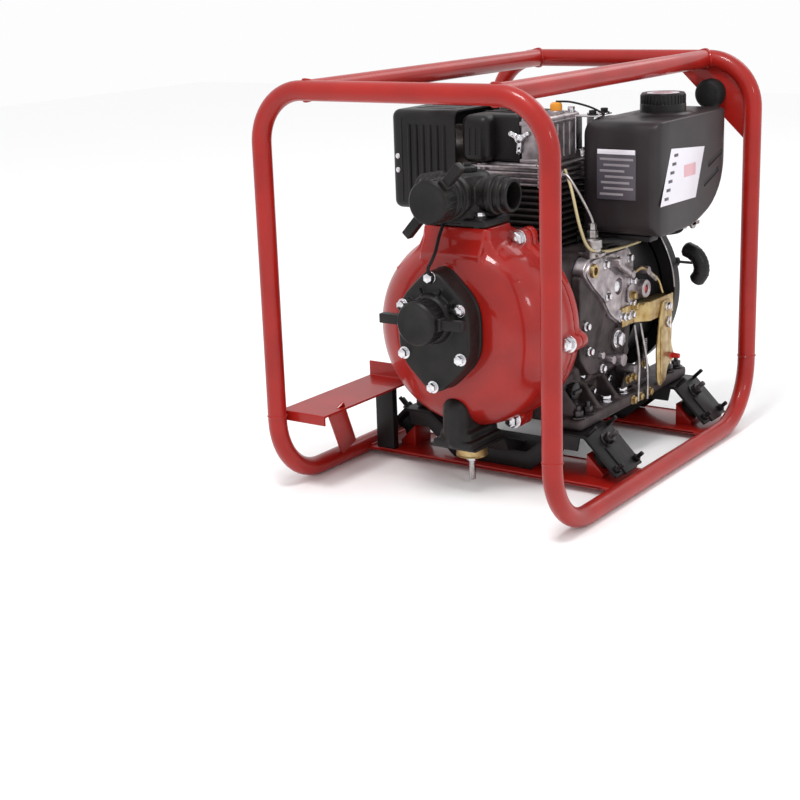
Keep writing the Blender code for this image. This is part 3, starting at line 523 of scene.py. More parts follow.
def piece(name, shapes, look, replaces=(), body=UNIT, sharp=32):
    """A finished piece: its mesh, its material, the nodes it stands for and the body it rides on."""
    mesh = gathered(shapes, name)
    mesh.shade_smooth()
    mesh.set_sharp_from_angle(angle=math.radians(sharp))
    mesh.materials.append(look)
    made = bpy.data.objects.new(name, mesh)
    bpy.context.scene.collection.objects.link(made)
    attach(made, body)
    if replaces:
        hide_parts(*replaces)


def mirrored(half):
    """A whole outline from its +X half, listed from the top down."""
    return half + [(-across, up) for across, up in reversed(half)]


# ---- frame of bent tube ----
def hoop_path(y):
    points = [(-POST_X, y, JOINT_Z)]
    points += [(x, y, z) for x, z in arc((-POST_X + HOOP_BEND, TOP_Z - HOOP_BEND), HOOP_BEND, 180, 90, 16)]
    points += [(x, y, z) for x, z in arc((POST_X - HOOP_BEND, TOP_Z - HOOP_BEND), HOOP_BEND, 90, 0, 16)]
    return points + [(POST_X, y, JOINT_Z)]


def runner_path(x):
    low = TUBE_R * 0.985
    inner = POST_Y - RUNNER_BEND
    points = [(x, -POST_Y, FLOOR_R)]
    points += [(x, y, z) for y, z in arc((-inner, low + RUNNER_BEND), RUNNER_BEND, 180, 270, 16)]
    points += [(x, y, z) for y, z in arc((inner, low + RUNNER_BEND), RUNNER_BEND, 270, 360, 16)]
    return points + [(x, POST_Y, FLOOR_R)]


def saddle_weld(x, side):
    """The bead where a top rail meets a hoop: it follows both tubes."""
    points = []
    for step in range(36):
        turn = 2 * math.pi * step / 36
        up = TUBE_R * math.sin(turn)
        reach = math.sqrt(max(TUBE_R ** 2 - up ** 2, 0.000004))
        points.append((x + TUBE_R * 1.02 * math.cos(turn), side * (POST_Y - reach), TOP_Z + up * 1.02))
    return pipe(points, 0.0022, 10, closed=True)


def butt_weld(x, y):
    """The bead round a post where hoop and runner meet."""
    ring = [(x + 0.0002 + (TUBE_R - 0.0006) * math.cos(turn), y + (TUBE_R - 0.0006) * math.sin(turn),
             JOINT_Z) for turn in [2 * math.pi * step / 40 for step in range(40)]]
    return pipe(ring, 0.0016, 10, closed=True)


def make_frame():
    for name, y in (("front_hoop", -POST_Y), ("rear_hoop", POST_Y)):
        side = math.copysign(1, y)
        beads = [butt_weld(x, y) for x in (-POST_X, POST_X)]
        beads += [saddle_weld(x, side) for x in (-RAIL_X, RAIL_X)]
        tube = pipe(hoop_path(y), TUBE_R - 0.0001, 40)
        piece(f"{name}_tube", [tube] + beads, RED, [name])
    for name, x in (("left_runner", -POST_X), ("right_runner", POST_X)):
        piece(f"{name}_tube", [pipe(runner_path(x), TUBE_R - 0.0001, 40)], RED, [name])
    for name, x in (("left_top_rail", -RAIL_X), ("right_top_rail", RAIL_X)):
        tube = pipe([(x, -POST_Y + 0.003, TOP_Z), (x, POST_Y - 0.003, TOP_Z)], TUBE_R - 0.0001, 40)
        piece(f"{name}_tube", [tube], RED, [name])


def make_cross_plates():
    for name in ("front_cross_plate", "rear_cross_plate"):
        low, high = span(name)
        beam = middle(name.replace("cross_plate", "mount_beam")).y
        floor = 0.014
        shapes = [block((low.x, low.y, low.z), (high.x, high.y, floor), 0.0015)]
        for y in (low.y + 0.001, high.y - 0.001):
            shapes.append(block((low.x + 0.02, y - 0.001, low.z), (high.x - 0.02, y + 0.001, floor + 0.001),
                                0.0008))
        for side in (BACK, FORTH):
            ramp = [(0.1515, 0.0476), (0.1791, 0.02), (0.1791, 0.013), (0.1515, 0.013)]
            outline = [(side * x, z) for x, z in ramp]
            shapes.append(slab(outline, 0.044, facing_front(beam + 0.022), 0.0015))
            edge = high.x * side
            weld = [(edge - side * 0.001, y, floor) for y in (low.y + 0.004, beam, high.y - 0.004)]
            shapes.append(pipe(weld, 0.0025, 12))
        piece(f"{name}_pressing", shapes, RED, [name])


def make_battery_tray():
    low, high = span("battery_tray")
    left = low.x
    right = high.x
    front = low.y + 0.0005
    rear = high.y - 0.003
    fold = [(front, 0.105), (front, 0.12), (rear, 0.12), (rear, 0.143), (rear + 0.003, 0.143),
            (rear + 0.003, 0.117), (front + 0.003, 0.117), (front + 0.003, 0.105)]
    sheet = slab(rounded(fold, 0.0022, 4, True), right - left, facing_side(left))
    stay_top = Vector((-0.166, -0.262, 0.1185))
    stay_foot = Vector((-0.214, -0.172, 0.029))
    lean = stay_foot - stay_top
    along = lean.normalized()
    across = (ALONG_Y - along * along.dot(ALONG_Y)).normalized()
    turn = Matrix((across, along.cross(across), along)).transposed().to_4x4()
    stay = moved(block((-0.016, -0.002, 0), (0.016, 0.002, lean.length), 0.0008),
                 Matrix.Translation(stay_top) @ turn)
    piece("battery_tray_sheet", [sheet, stay], RED, ["battery_tray"])
    low, high = span("tray_leg")
    low.x, high.x = low.x - 0.006, high.x + 0.006
    channel = [(low.x, low.y), (high.x, low.y), (high.x, high.y), (high.x - 0.003, high.y),
               (high.x - 0.003, low.y + 0.003), (low.x + 0.003, low.y + 0.003), (low.x + 0.003, high.y),
               (low.x, high.y)]
    piece("tray_leg_channel", [slab(channel, high.z - low.z, facing_up(low.z), 0.0006)], BLACK, ["tray_leg"])


def make_gusset_and_switch():
    low, high = span("key_gusset")
    corner = (POST_X - HOOP_BEND, TOP_Z - HOOP_BEND)
    inside = HOOP_BEND - TUBE_R
    rim = [(low.x, corner[1] + inside)] + arc(corner, inside, 90, 0, 20) + [(corner[0] + inside, low.z)]
    gusset = slab(list(reversed(rim)), high.y - low.y, facing_front(high.y), 0.0008)
    along = [(x, low.y + 0.0015, z) for x, z in arc(corner, inside + 0.0006, 88, 2, 20)]
    piece("key_gusset_plate", [gusset, pipe(along, 0.0018, 10)], RED, ["key_gusset"])
    low, high = span("key_switch")
    centre = (SWITCH.x, 0, SWITCH.z)
    face = POST_Y - 0.0018
    boot = [(0, low.y), (0.0165, low.y), (0.019, low.y + 0.0012), (0.0222, low.y + 0.0055),
            (0.0228, low.y + 0.009), (0.0215, low.y + 0.01), (0.0228, low.y + 0.011), (0.023, low.y + 0.017),
            (0.0218, low.y + 0.018), (0.023, low.y + 0.019), (0.0225, face), (0.0095, face),
            (0.0095, high.y - 0.006), (0, high.y - 0.006)]
    piece("key_switch_boot", [turned(list(reversed(boot)), centre, BEHIND, 56)], RUBBER, ["key_switch"])
    bezel = [(0.0036, high.y - 0.001), (0.0105, high.y - 0.001), (0.012, high.y), (0.0135, high.y - 0.002),
             (0.0145, high.y - 0.006), (0.0036, high.y - 0.006)]
    piece("key_switch_bezel", [turned(bezel, centre, BEHIND, 56, True)], CHROME)
    low, high = span("ignition_key")
    bow = slab(arc((0, 0), 0.0098, 0, 350, 35), 0.0018, Matrix.Translation((-0.0009, 0, 0)), 0.0003,
               [arc((0, 0), 0.0035, 0, 340, 17)])
    moved(bow, spun((SWITCH.x, high.y - 0.0015, SWITCH.z), math.pi / 2, "Y") @ Matrix.Diagonal((1, 0.14, 1, 1)))
    shank = drum((SWITCH.x, low.y, SWITCH.z), (SWITCH.x, high.y - 0.0012, SWITCH.z), 0.0028, sides=24)
    piece("ignition_key_blade", [shank, bow], STEEL, ["ignition_key"], "key")


# ---- engine mounts ----
def make_mount_beams():
    outer = [(0.06, 0.042), (0.11, 0.08), (0.158, 0.08), (0.2115, 0.0265), (0.208, 0.023), (0.156, 0.075),
             (0.15, 0.075), (0.146, 0.055), (0.115, 0.055), (0.0675, 0.0145)]
    skin = [(0.06, 0.042), (0.11, 0.08), (0.158, 0.08), (0.2115, 0.0265), (0.208, 0.023), (0.156, 0.0755),
            (0.112, 0.0755), (0.062, 0.0375)]
    for name in ("front_mount_beam", "rear_mount_beam"):
        low, high = span(name)
        wide = high.y - low.y
        shapes = [slab(mirrored(skin), wide, facing_front(high.y), 0.0018)]
        for y in (high.y, low.y + 0.004):
            shapes.append(slab(mirrored(outer), 0.004, facing_front(y), 0.0012))
        for side in (BACK, FORTH):
            outer_end = Vector((side * 0.196, middle(name).y, 0.0415))
            out = Vector((side, 0, 1)).normalized()
            lug = moved(block((-0.018, -0.024, -0.0015), (0.018, 0.024, 0.003), 0.0012),
                        Matrix.Translation(outer_end) @ out.to_track_quat("Z", "Y").to_matrix().to_4x4())
            shapes.append(lug)
        piece(f"{name}_pressing", shapes, BLACK, [name])
        fasteners = []
        for side in (BACK, FORTH):
            out = Vector((side, 0, 1)).normalized()
            for y in (-0.026, 0.026):
                base = Vector((side * 0.134, middle(name).y + y * 0.55, 0.0985))
                fasteners += bolt(base, UP, 0.013, 0.009, 0.011, 0.007)
            top = Vector((side * 0.1722, middle(name).y, 0.064))
            fasteners += bolt(top + out * 0.002, out, 0.015, 0.009, 0.012, 0.012)
        piece(f"{name}_bolts", fasteners, DARK_STEEL)
        studs = []
        for side in (BACK, FORTH):
            out = Vector((side, 0, 1)).normalized()
            for y in (-0.031, 0.031):
                foot = Vector((side * 0.2045, middle(name).y + y, 0.033))
                studs += [drum(foot - out * 0.002, foot + out * 0.016, 0.0032, sides=20, rounding=0.0006)]
                studs += bolt(foot + out * 0.001, out, 0.01, 0.005)
                crest = Vector((side * 0.158, middle(name).y + y, 0.079))
                studs += [drum(crest, crest + out * 0.02, 0.003, sides=20, rounding=0.0006)]
        piece(f"{name}_mount_studs", studs, BLACK)


def make_rubber_mounts():
    for end in ("front", "rear"):
        for side_name, side in (("left", BACK), ("right", FORTH)):
            node = f"rubber_mount_{end}_{side_name}"
            centre = middle(node)
            axis = Vector((side, 0, 1)).normalized()
            half = 0.0109
            waist = [(0, half), (0.0165, half), (0.017, half - 0.002), (0.014, 0.003), (0.0138, 0),
                     (0.014, -0.003), (0.017, -half + 0.002), (0.0165, -half), (0, -half)]
            profile = rounded(waist, 0.003, 4)
            piece(f"{node}_bobbin", [turned(profile, centre, axis, 48)], RUBBER, [node])


def make_pump_support():
    low, high = span("pump_support_arm")
    strip = [(-0.058, 0.0424), (-0.058, 0.046), (-0.109, 0.046), (-0.122, 0.071), (low.y, 0.071),
             (low.y, 0.0662), (-0.125, 0.0662), (-0.1115, 0.0424)]
    path = rounded(strip, 0.002, 3, True)
    arm = slab(path, high.x - low.x, facing_side(low.x), 0.0008)
    bore = drum((FOOT_BOLT.x, FOOT_BOLT.y, 0.05), (FOOT_BOLT.x, FOOT_BOLT.y, 0.09), 0.006, sides=32)
    ribs = [slab([(-0.064, 0.0455), (-0.108, 0.0455), (-0.118, 0.065), (-0.116, 0.066)], 0.003, facing_side(x),
                 0.0006) for x in (low.x, high.x - 0.003)]
    piece("pump_support_arm_plate", [worked([arm], cutters=[bore])] + ribs, BLACK, ["pump_support_arm"])
    fixing = bolt((low.x + 0.012, low.y + 0.012, 0.0708), UP, 0.013, 0.006, 0.0095)
    piece("pump_support_arm_bolt", fixing, CHROME)
    place = (FOOT_BOLT.x, FOOT_BOLT.y, 0)
    cup = [(0.006, 0.0655), (0.0218, 0.0655), (0.024, 0.064), (0.024, 0.06), (0.0233, 0.059), (0.0233, 0.047),
           (0.024, 0.046), (0.0235, 0.0445), (0.0215, 0.0435), (0.006, 0.0435)]
    piece("pump_foot_cup_washer", [turned(cup, place, steps=72, closed=True)], GOLD, ["pump_foot_cup"])
    shank = thread((*place[:2], 0.0055), (*place[:2], 0.04), 0.005)
    shank.append(drum((*place[:2], 0.038), (*place[:2], 0.084), 0.005, sides=32))
    shank += bolt((*place[:2], 0.0432), (0, 0, -1), 0.0155, 0.0075)
    shank.append(drum((*place[:2], 0.0434), (*place[:2], 0.042), 0.0105, rounding=0.0003))
    piece("pump_foot_bolt_thread", shank, CHROME, ["pump_foot_bolt"])


# ---- pump ----
def dome_profile(extra):
    """The volute's outer side from its front face back, as radius and distance ahead of the origin."""
    front = -span("pump_volute")[0].y
    back = -span("pump_volute")[1].y
    side = [(0.08, front - 0.001), (0.098, 0.209), (0.119, 0.201), (0.136, 0.186), (0.1465, 0.166),
            (0.15, 0.144), (0.15, back + 0.001)]
    return [(radius + extra, height) for radius, height in side]


def eared_outline(radius, ear, steps=216):
    """A circle with a round ear at each bolt."""
    outline = []
    for step in range(steps):
        angle = 2 * math.pi * step / steps
        reach = radius
        for ear_angle in EARS:
            apart = angle - math.radians(ear_angle)
            across = EAR_RING * math.sin(apart)
            if math.cos(apart) > 0 and abs(across) < ear:
                reach = max(reach, EAR_RING * math.cos(apart) + math.sqrt(ear ** 2 - across ** 2))
        outline.append((reach * math.cos(angle), CRANK.z + reach * math.sin(angle)))
    return outline


def ear_place(angle, y):
    turn = math.radians(angle)
    return Vector((EAR_RING * math.cos(turn), y, CRANK.z + EAR_RING * math.sin(turn)))


def oval_outline(half_width, half_height, reach=0.018):
    """The suction flange: a six-cornered oval with a bolt in each corner."""
    corners = [(0, half_height), (half_width, 0.04), (half_width, -0.04), (0, -half_height),
               (-half_width, -0.04), (-half_width, 0.04)]
    centre = middle("suction_flange").z
    return [(x, centre + z) for x, z in rounded(corners, reach, 7, True)]


def make_volute():
    low, high = span("pump_volute")
    neck_y = NECK.y
    side = dome_profile(-DRAWN_IN)
    profile = [(0, side[0][1])] + curve_through(side[:-1]) + [side[-1], (0, side[-1][1])]
    dome = turned(profile, (0, 0, CRANK.z), AHEAD, 128)
    flange = slab(eared_outline(0.147, 0.0135), 0.012, facing_front(high.y))
    face = slab(oval_outline(0.055, 0.094), 0.03, facing_front(low.y + 0.03))
    neck = [(0.053, high.z), (0.055, 0.374), (0.064, 0.356), (0.08, 0.34), (0.104, 0.322), (0.06, 0.29)]
    throat = slab(mirrored(neck), 0.066, facing_front(neck_y + 0.031))
    ramp = [(neck_y - 0.036, high.z), (neck_y - 0.04, 0.372), (neck_y - 0.052, 0.352), (neck_y - 0.04, 0.3),
            (neck_y + 0.03, 0.3), (neck_y + 0.031, high.z)]
    lip = slab(ramp[::-1], 0.1, facing_side(-0.05))
    bosses = [drum(ear_place(angle, high.y), ear_place(angle, high.y - 0.02), 0.0125, 0.0115) for angle in EARS]
    web = [drum((x, neck_y - 0.02, high.z - 0.001), (x, neck_y - 0.02, high.z - 0.03), 0.008,
                0.006) for x in (-0.046, 0.046)]
    hollow = turned([(0, 0.203), (0.092, 0.203), (0.113, 0.195), (0.129, 0.181), (0.139, 0.162), (0.142, 0.143),
                     (0.142, 0.1), (0, 0.1)], (0, 0, CRANK.z), AHEAD, 96)
    cutters = [hollow, block((-0.033, neck_y - 0.02, 0.29), (0.033, neck_y + 0.02, high.z + 0.01)),
               drum((0, -0.26, SUCTION.z), (0, -0.18, SUCTION.z), 0.03),
               block((-0.3, high.y, 0), (0.3, high.y + 0.02, 0.6))]
    body = worked([dome, flange, face, throat, lip] + bosses + web, 0.002, 12, cutters)
    piece("pump_volute_casting", [body], RED_CAST, ["pump_volute"], sharp=40)
    plate_front, plate_rear = (corner.y for corner in span("pump_back_plate"))
    plate = slab(eared_outline(0.1465, 0.013), plate_rear - plate_front, facing_front(plate_rear), 0.0012,
                 [arc((0, CRANK.z), 0.024, 0, 350, 35)])
    piece("pump_back_plate_casting", [plate], RED_CAST, ["pump_back_plate"])
    heads = bolts([ear_place(EARS[index], plate_rear - 0.002) for index in (0, 1, 3)], BEHIND, 0.01, 0.006)
    for angle in EARS:
        place = ear_place(angle, high.y - 0.0195)
        heads += bolt(place, AHEAD, 0.017, 0.01, 0.013)
        heads.append(turned([(0, 0.013), (0.004, 0.0122), (0.007, 0.01), (0, 0.0095)], place, AHEAD, 24))
    piece("pump_volute_bolts", heads, ZINC)


def make_suction():
    low, high = span("suction_flange")
    face = -0.25
    rear = high.y
    slabs = [slab(oval_outline(0.059, 0.0965, 0.028), rear - face, facing_front(rear), 0.006, segments=5)]
    slabs.append(slab(oval_outline(0.0605, 0.098, 0.028), 0.006, facing_front(rear), 0.0015))
    boss = turned([(0, 0.262), (0.0315, 0.262), (0.0345, 0.258), (0.0365, 0.251), (0.0375, 0.246), (0, 0.246)],
                  (0, 0, SUCTION.z), AHEAD, 72)
    spout = turned([(0, -low.y), (0.0264, -low.y), (0.0268, -low.y - 0.001), (0.0268, 0.25), (0, 0.25)],
                   (0, 0, SUCTION.z), AHEAD, 72)
    ribs = []
    for angle in (35, 68, 112, 145):
        lean = spun((0, 0, SUCTION.z), -math.radians(angle), "Y")
        ribs.append(moved(block((0.033, -0.256, -0.0022), (0.046, -0.248, 0.0022), 0.001), lean))
    bore = drum((0, -0.2, SUCTION.z), (0, -0.32, SUCTION.z), 0.0215, sides=64)
    body = worked(slabs + [boss, spout] + ribs, 0.0012, 2, [bore])
    piece("suction_flange_casting", [body], BLACK_CAST, ["suction_flange"], sharp=40)
    corners = ((0, 0.328), (0, 0.171), (0.047, 0.285), (-0.047, 0.285), (0.047, 0.216), (-0.047, 0.216))
    heads = bolts([(x, face, z) for x, z in corners], AHEAD, 0.012, 0.0075, 0.009)
    piece("suction_flange_bolts", heads, ZINC)


def lugged_cap(name, centre, mouth, face, angle):
    """A blanking cap: a ribbed rim, a dished face and two tapered lugs."""
    wall = 0.0273
    rim = [(0, -face - 0.0012), (0.0215, -face - 0.0012), (0.0235, -face), (0.0285, -face),
           (0.031, -face - 0.0025), (0.031, -mouth + 0.004), (0.0302, -mouth + 0.003), (0.031, -mouth + 0.002),
           (0.031, -mouth), (wall, -mouth), (wall, -face - 0.006), (0, -face - 0.006)]
    shapes = [turned(rim, (centre[0], 0, centre[1]), AHEAD, 80)]
    hub = (centre[0], (mouth + face) / 2, centre[1])
    for side in (0, 180):
        turn = spun(hub, -math.radians(angle + side), "Y")
        lug = block((0.0285, -0.0068, -0.0068), (0.068, 0.0068, 0.0068), 0.0014)
        shapes.append(moved(lug, turn))
        root = block((0.027, -0.009, -0.0095), (0.036, 0.009, 0.0095), 0.003)
        shapes.append(moved(root, turn))
    shapes += knurled(24, hub, "Y", (0.03, -0.01, -0.0011), (0.0317, 0.01, 0.0011), 0.0004, 2)
    piece(f"{name}_casting", shapes, BLACK_CAST, [name], name, sharp=40)


def make_caps():
    low, high = span("suction_cap")
    lugged_cap("suction_cap", (0, SUCTION.z), high.y, low.y, 180)
    low, high = span("discharge_cap")
    lugged_cap("discharge_cap", (0, OUTLET.z), high.y, low.y, 228)


def make_manifold():
    low, high = span("discharge_manifold")
    y = NECK.y
    z = OUTLET.z
    shapes = [block((-0.05, y - 0.035, low.z), (0.05, y + 0.034, low.z + 0.012), 0.003),
              turned([(0, high.z), (0.026, high.z), (0.032, high.z - 0.004), (0.034, high.z - 0.012),
                      (0.035, 0.42), (0.038, low.z + 0.006), (0, low.z + 0.006)], (0, y, 0), steps=72)]
    feet = [(x, y + apart) for x in (-0.0365, 0.0365) for apart in (-0.025, 0.025)]
    shapes += [drum((*foot, low.z), (*foot, low.z + 0.016), 0.0105, 0.0085) for foot in feet]
    end = high.x
    collar = [(0, end), (0.0225, end), (0.024, end - 0.0015), (0.024, end - 0.007), (0.0228, end - 0.008),
              (0.0228, end - 0.012), (0.0262, end - 0.013), (0.0262, end - 0.019), (0.0245, end - 0.02),
              (0.0245, end - 0.023), (0.0285, end - 0.0245), (0.0285, end - 0.033), (0.0255, end - 0.0345),
              (0.0255, 0.0), (0, 0)]
    for side in (BACK, FORTH):
        shapes.append(turned(collar, (0, y, z), (side, 0, 0), 72))
    front = [(0, 0.088), (0.0255, 0.088), (0.0268, 0.0865), (0.0268, 0.063), (0.03, 0.062), (0.03, 0.056),
             (0.027, 0.055), (0.027, 0.05), (0.032, 0.049), (0.032, 0.04), (0.028, 0.038), (0.028, 0.0), (0, 0)]
    shapes.append(turned(front, (0, y, z), AHEAD, 72))
    for angle in (25, 65, 115, 155):
        turn = spun((0, y, 0), math.radians(angle), "Z")
        shapes.append(moved(block((0.03, -0.002, low.z + 0.008), (0.042, 0.002, high.z - 0.014), 0.0008), turn))
    cutters = [drum((0, y, low.z - 0.01), (0, y, 0.45), 0.026), drum((-0.1, y, z), (0.1, y, z), 0.019),
               drum((0, y, z), (0, -0.26, z), 0.0215), drum((0, y, 0.44), (0, y, 0.48), 0.0098)]
    piece("discharge_manifold_casting", [worked(shapes, 0.0011, 2, cutters)], BLACK_CAST,
          ["discharge_manifold"], sharp=40)
    heads = bolts([(*foot, low.z + 0.0155) for foot in feet], UP, 0.011, 0.006)
    piece("discharge_manifold_bolts", heads, ZINC)
    low, high = span("priming_plug")
    plug = [turned([(0, high.z - 0.004), (0.01, high.z - 0.004), (0.014, high.z - 0.006), (0.014, 0.4625),
                    (0.0095, 0.4625), (0.0095, low.z), (0, low.z)], (0, y, 0), steps=48)]
    plug.append(drum((0, y, high.z - 0.006), (0, y, high.z), 0.0075, sides=4, rounding=0.0008))
    plug += knurled(18, (0, y, 0), "Z", (0.0134, -0.0009, 0.463), (0.0146, 0.0009, high.z - 0.0065), 0.0003, 1)
    piece("priming_plug_moulding", plug, ABS, ["priming_plug"], "priming_plug")


def make_pump_foot():
    low, high = span("pump_foot")
    centre = (low + high) / 2
    lump = eased(block((low.x + 0.009, low.y + 0.002, low.z), (high.x - 0.009, high.y, high.z)), 0.019, 7)
    skirt = block((low.x + 0.003, low.y + 0.01, low.z), (high.x - 0.003, high.y, low.z + 0.026), 0.008, 3)
    pad = block((low.x - 0.004, low.y + 0.006, low.z), (high.x + 0.004, high.y - 0.002, low.z + 0.012), 0.003)
    rib = block((centre.x - 0.004, low.y + 0.002, low.z + 0.004),
                (centre.x + 0.004, high.y - 0.004, high.z - 0.01), 0.003)
    grown = dome_profile(0.0008 - DRAWN_IN)
    profile = [(0, grown[0][1] + 0.0008)] + curve_through(grown[:-1]) + [grown[-1], (0, grown[-1][1])]
    dome = turned(profile, (0, 0, CRANK.z), AHEAD, 96)
    bore = drum((FOOT_BOLT.x, FOOT_BOLT.y, 0.06), (FOOT_BOLT.x, FOOT_BOLT.y, 0.085), 0.006)
    piece("pump_foot_casting", [worked([lump, skirt, pad, rib], 0.0015, 5, [dome, bore])], BLACK_CAST,
          ["pump_foot"], sharp=40)


def make_tether():
    route = [(-0.017, -0.1876, 0.392), (-0.013, -0.205, 0.378), (-0.005, -0.228, 0.36), (-0.002, -0.244, 0.348),
             (-0.001, -0.253, 0.342), (-0.001, -0.253, 0.334)]
    strap = pipe(curve_through(route, 8), 0.0026, 16, squash=0.62)
    eye = turned([(0.0055, 0.0008), (0.0088, 0.001), (0.0092, 0.0), (0.0088, -0.001), (0.0055, -0.0008)],
                 (-0.001, -0.252, 0.328), AHEAD, 32, True)
    piece("cap_tether_strap", [strap, eye], RUBBER, ["cap_tether"])


# ---- engine block ----
def make_crankcase():
    low, high = span("crankcase")
    half = 0.105
    top = high.z
    rear = 0.128
    bosses = ((-0.072, 0.3), (-0.072, 0.18), (0.112, 0.3), (0.112, 0.17), (0.02, 0.112))
    shapes = [block((-half, low.y, 0.15), (half, rear, top), 0.008, 4),
              block((-half + 0.006, low.y + 0.004, 0.088), (half - 0.006, rear - 0.004, 0.16), 0.006, 3),
              block((-half - 0.001, low.y + 0.001, 0.128), (half + 0.001, rear - 0.002, 0.136), 0.002),
              drum((0, low.y, CRANK.z), (0, low.y + 0.016, CRANK.z), 0.118, sides=96),
              drum((0, rear - 0.02, CRANK.z), (0, rear, CRANK.z), 0.121, sides=96),
              drum((0, CYL.y, top - 0.02), (0, CYL.y, top), 0.064)]
    for side in (BACK, FORTH):
        near = side * (half - 0.015)
        far = side * high.x
        left, right = sorted((near, far))
        shapes.append(block((left, -0.085, 0.0805), (right, high.y, 0.0975), 0.004))
        for y in (-0.07, -0.01, 0.05, 0.11):
            gusset = [(side * (half - 0.01), 0.15), (side * (half + 0.006), 0.135), (side * 0.14, 0.096),
                      (side * (half - 0.01), 0.096)]
            shapes.append(slab(gusset, 0.008, facing_front(y + 0.004)))
        for y in (-0.06, -0.02, 0.02, 0.06, 0.1):
            edge = side * (half - 0.004)
            shapes.append(drum((edge, y, 0.135), (edge, y, 0.3), 0.0075, 0.0055, sides=24))
        for y, z in bosses:
            shapes.append(drum((side * 0.09, y, z), (side * (half + 0.004), y, z), 0.011, 0.009, sides=32))
    hollow = block((-0.092, -0.075, 0.104), (0.092, 0.115, 0.317))
    cutters = [hollow, drum((0, -0.12, CRANK.z), (0, 0.16, CRANK.z), 0.03),
               drum((0, CYL.y, 0.3), (0, CYL.y, 0.34), 0.0505)]
    piece("crankcase_casting", [worked(shapes, 0.0024, 3, cutters)], CASE, ["crankcase"], sharp=40)
    heads = []
    for side in (BACK, FORTH):
        heads += bolts([(side * (half + 0.0035), y, z) for y, z in bosses], (side, 0, 0), 0.01, 0.006)
        heads += bolts([(side * (half - 0.004), y, 0.1365) for y in (-0.055, 0.0, 0.055, 0.105)], UP, 0.009,
                       0.005)
        heads += bolts([(side * 0.128, y, 0.0975) for y in (0.026, 0.08)], UP, 0.013, 0.008, 0.01)
        heads += bolt((side * (half + 0.001), 0.063, 0.119), (side, 0, 0), 0.017, 0.01, 0.013)
    piece("crankcase_bolts", heads, ZINC)


def make_gear_cover():
    low, high = span("gear_cover")
    back = low.x
    dark = [(-0.04, 0.175), (-0.012, 0.145), (0.06, 0.14), (0.112, 0.15), (0.122, 0.19), (0.122, 0.24),
            (0.06, 0.24), (0.01, 0.3), (-0.04, 0.3)]
    shapes = [slab(rounded(dark, 0.008, 4, True), 0.015, facing_side(back))]
    shapes += [drum((back, y, z), (back + 0.0195, y, z), r, r * 0.9) for y, z,
               r in ((0.07, 0.185, 0.02), (-0.02, 0.185, 0.008), (0.1, 0.16, 0.009), (0.02, 0.15, 0.009),
                     (-0.03, 0.225, 0.008))]
    shapes += [slab([(0.000, 0.17), (0.006, 0.17), (0.05, 0.262), (0.044, 0.262)], 0.018, facing_side(back)),
               slab([(0.094, 0.17), (0.1, 0.17), (0.104, 0.25), (0.098, 0.25)], 0.018, facing_side(back))]
    piece("timing_case_casting", [worked(shapes, 0.0014, 3)], CASE, sharp=40)
    bright = [(-0.04, 0.306), (-0.022, 0.324), (0.102, 0.324), (0.122, 0.304), (0.122, 0.236), (0.108, 0.215),
              (0.078, 0.205), (0.044, 0.224), (0.018, 0.256), (-0.014, 0.28)]
    shapes = [slab(rounded(bright, 0.009, 4, True), 0.0185, facing_side(back)),
              slab(rounded([(y * 0.94 + 0.0025, z * 0.94 + 0.016, 0) for y, z in bright], 0.009, 4, True),
                   0.0225, facing_side(back))]
    raised = ((-0.018, 0.306, 0.0105), (0.02, 0.309, 0.01), (0.058, 0.309, 0.01), (0.098, 0.306, 0.0105),
              (0.11, 0.268, 0.0105), (0.108, 0.234, 0.0105), (0.075, 0.219, 0.0105), (0.028, 0.26, 0.0105),
              (0.064, 0.268, 0.021), (0.064, 0.242, 0.013))
    shapes += [drum((back, y, z), (high.x + 0.0015, y, z), r, r * 0.9) for y, z, r in raised]
    shapes += [slab([(0.022, 0.3), (0.029, 0.304), (0.1, 0.262), (0.096, 0.256)], 0.0235, facing_side(back)),
               slab([(0.084, 0.31), (0.09, 0.31), (0.086, 0.262), (0.08, 0.262)], 0.0235, facing_side(back))]
    cutters = [drum((high.x - 0.004, 0.064, 0.268), (high.x + 0.01, 0.064, 0.268), 0.013, sides=40),
               drum((high.x - 0.006, -0.018, 0.306), (high.x + 0.01, -0.018, 0.306), 0.0045, sides=32)]
    piece("gear_cover_casting", [worked(shapes, 0.0012, 3, cutters)], SILVER, ["gear_cover"], sharp=40)
    heads = bolts([(high.x + 0.0012, y, z) for y, z, _ in raised[1:8]], OUTSIDE, 0.0095, 0.0055, 0.0072)
    heads.append(turned([(0, 0.006), (0.006, 0.0055), (0.01, 0.003), (0.0115, 0), (0, 0)],
                        (high.x - 0.004, 0.064, 0.268), OUTSIDE, 32))
    lower = ((-0.02, 0.185), (0.02, 0.15), (-0.03, 0.225))
    heads += bolts([(back + 0.019, y, z) for y, z in lower], OUTSIDE, 0.009, 0.0055, 0.0068)
    heads += bolt((back + 0.019, 0.07, 0.185), OUTSIDE, 0.019, 0.008, 0.014)
    piece("gear_cover_bolts", heads, ZINC)
    ring = turned([(0.006, 0.0), (0.01, 0.0), (0.0105, 0.003), (0.01, 0.006), (0.006, 0.006)],
                  (high.x + 0.0005, -0.018, 0.306), OUTSIDE, 40, True)
    piece("gear_cover_ring", [ring], GOLD)


def finned(low, high, count, depth, rounding):
    """A block of cooling fins stacked upwards on a narrower core."""
    shapes = [block((low.x + depth, low.y + depth, low.z), (high.x - depth, high.y - depth, high.z), 0.004)]
    pitch = (high.z - low.z) / count
    for step in range(count):
        base = low.z + pitch * (step + 0.28)
        shapes.append(block((low.x, low.y, base), (high.x, high.y, base + pitch * 0.42), rounding, 2))
    return shapes


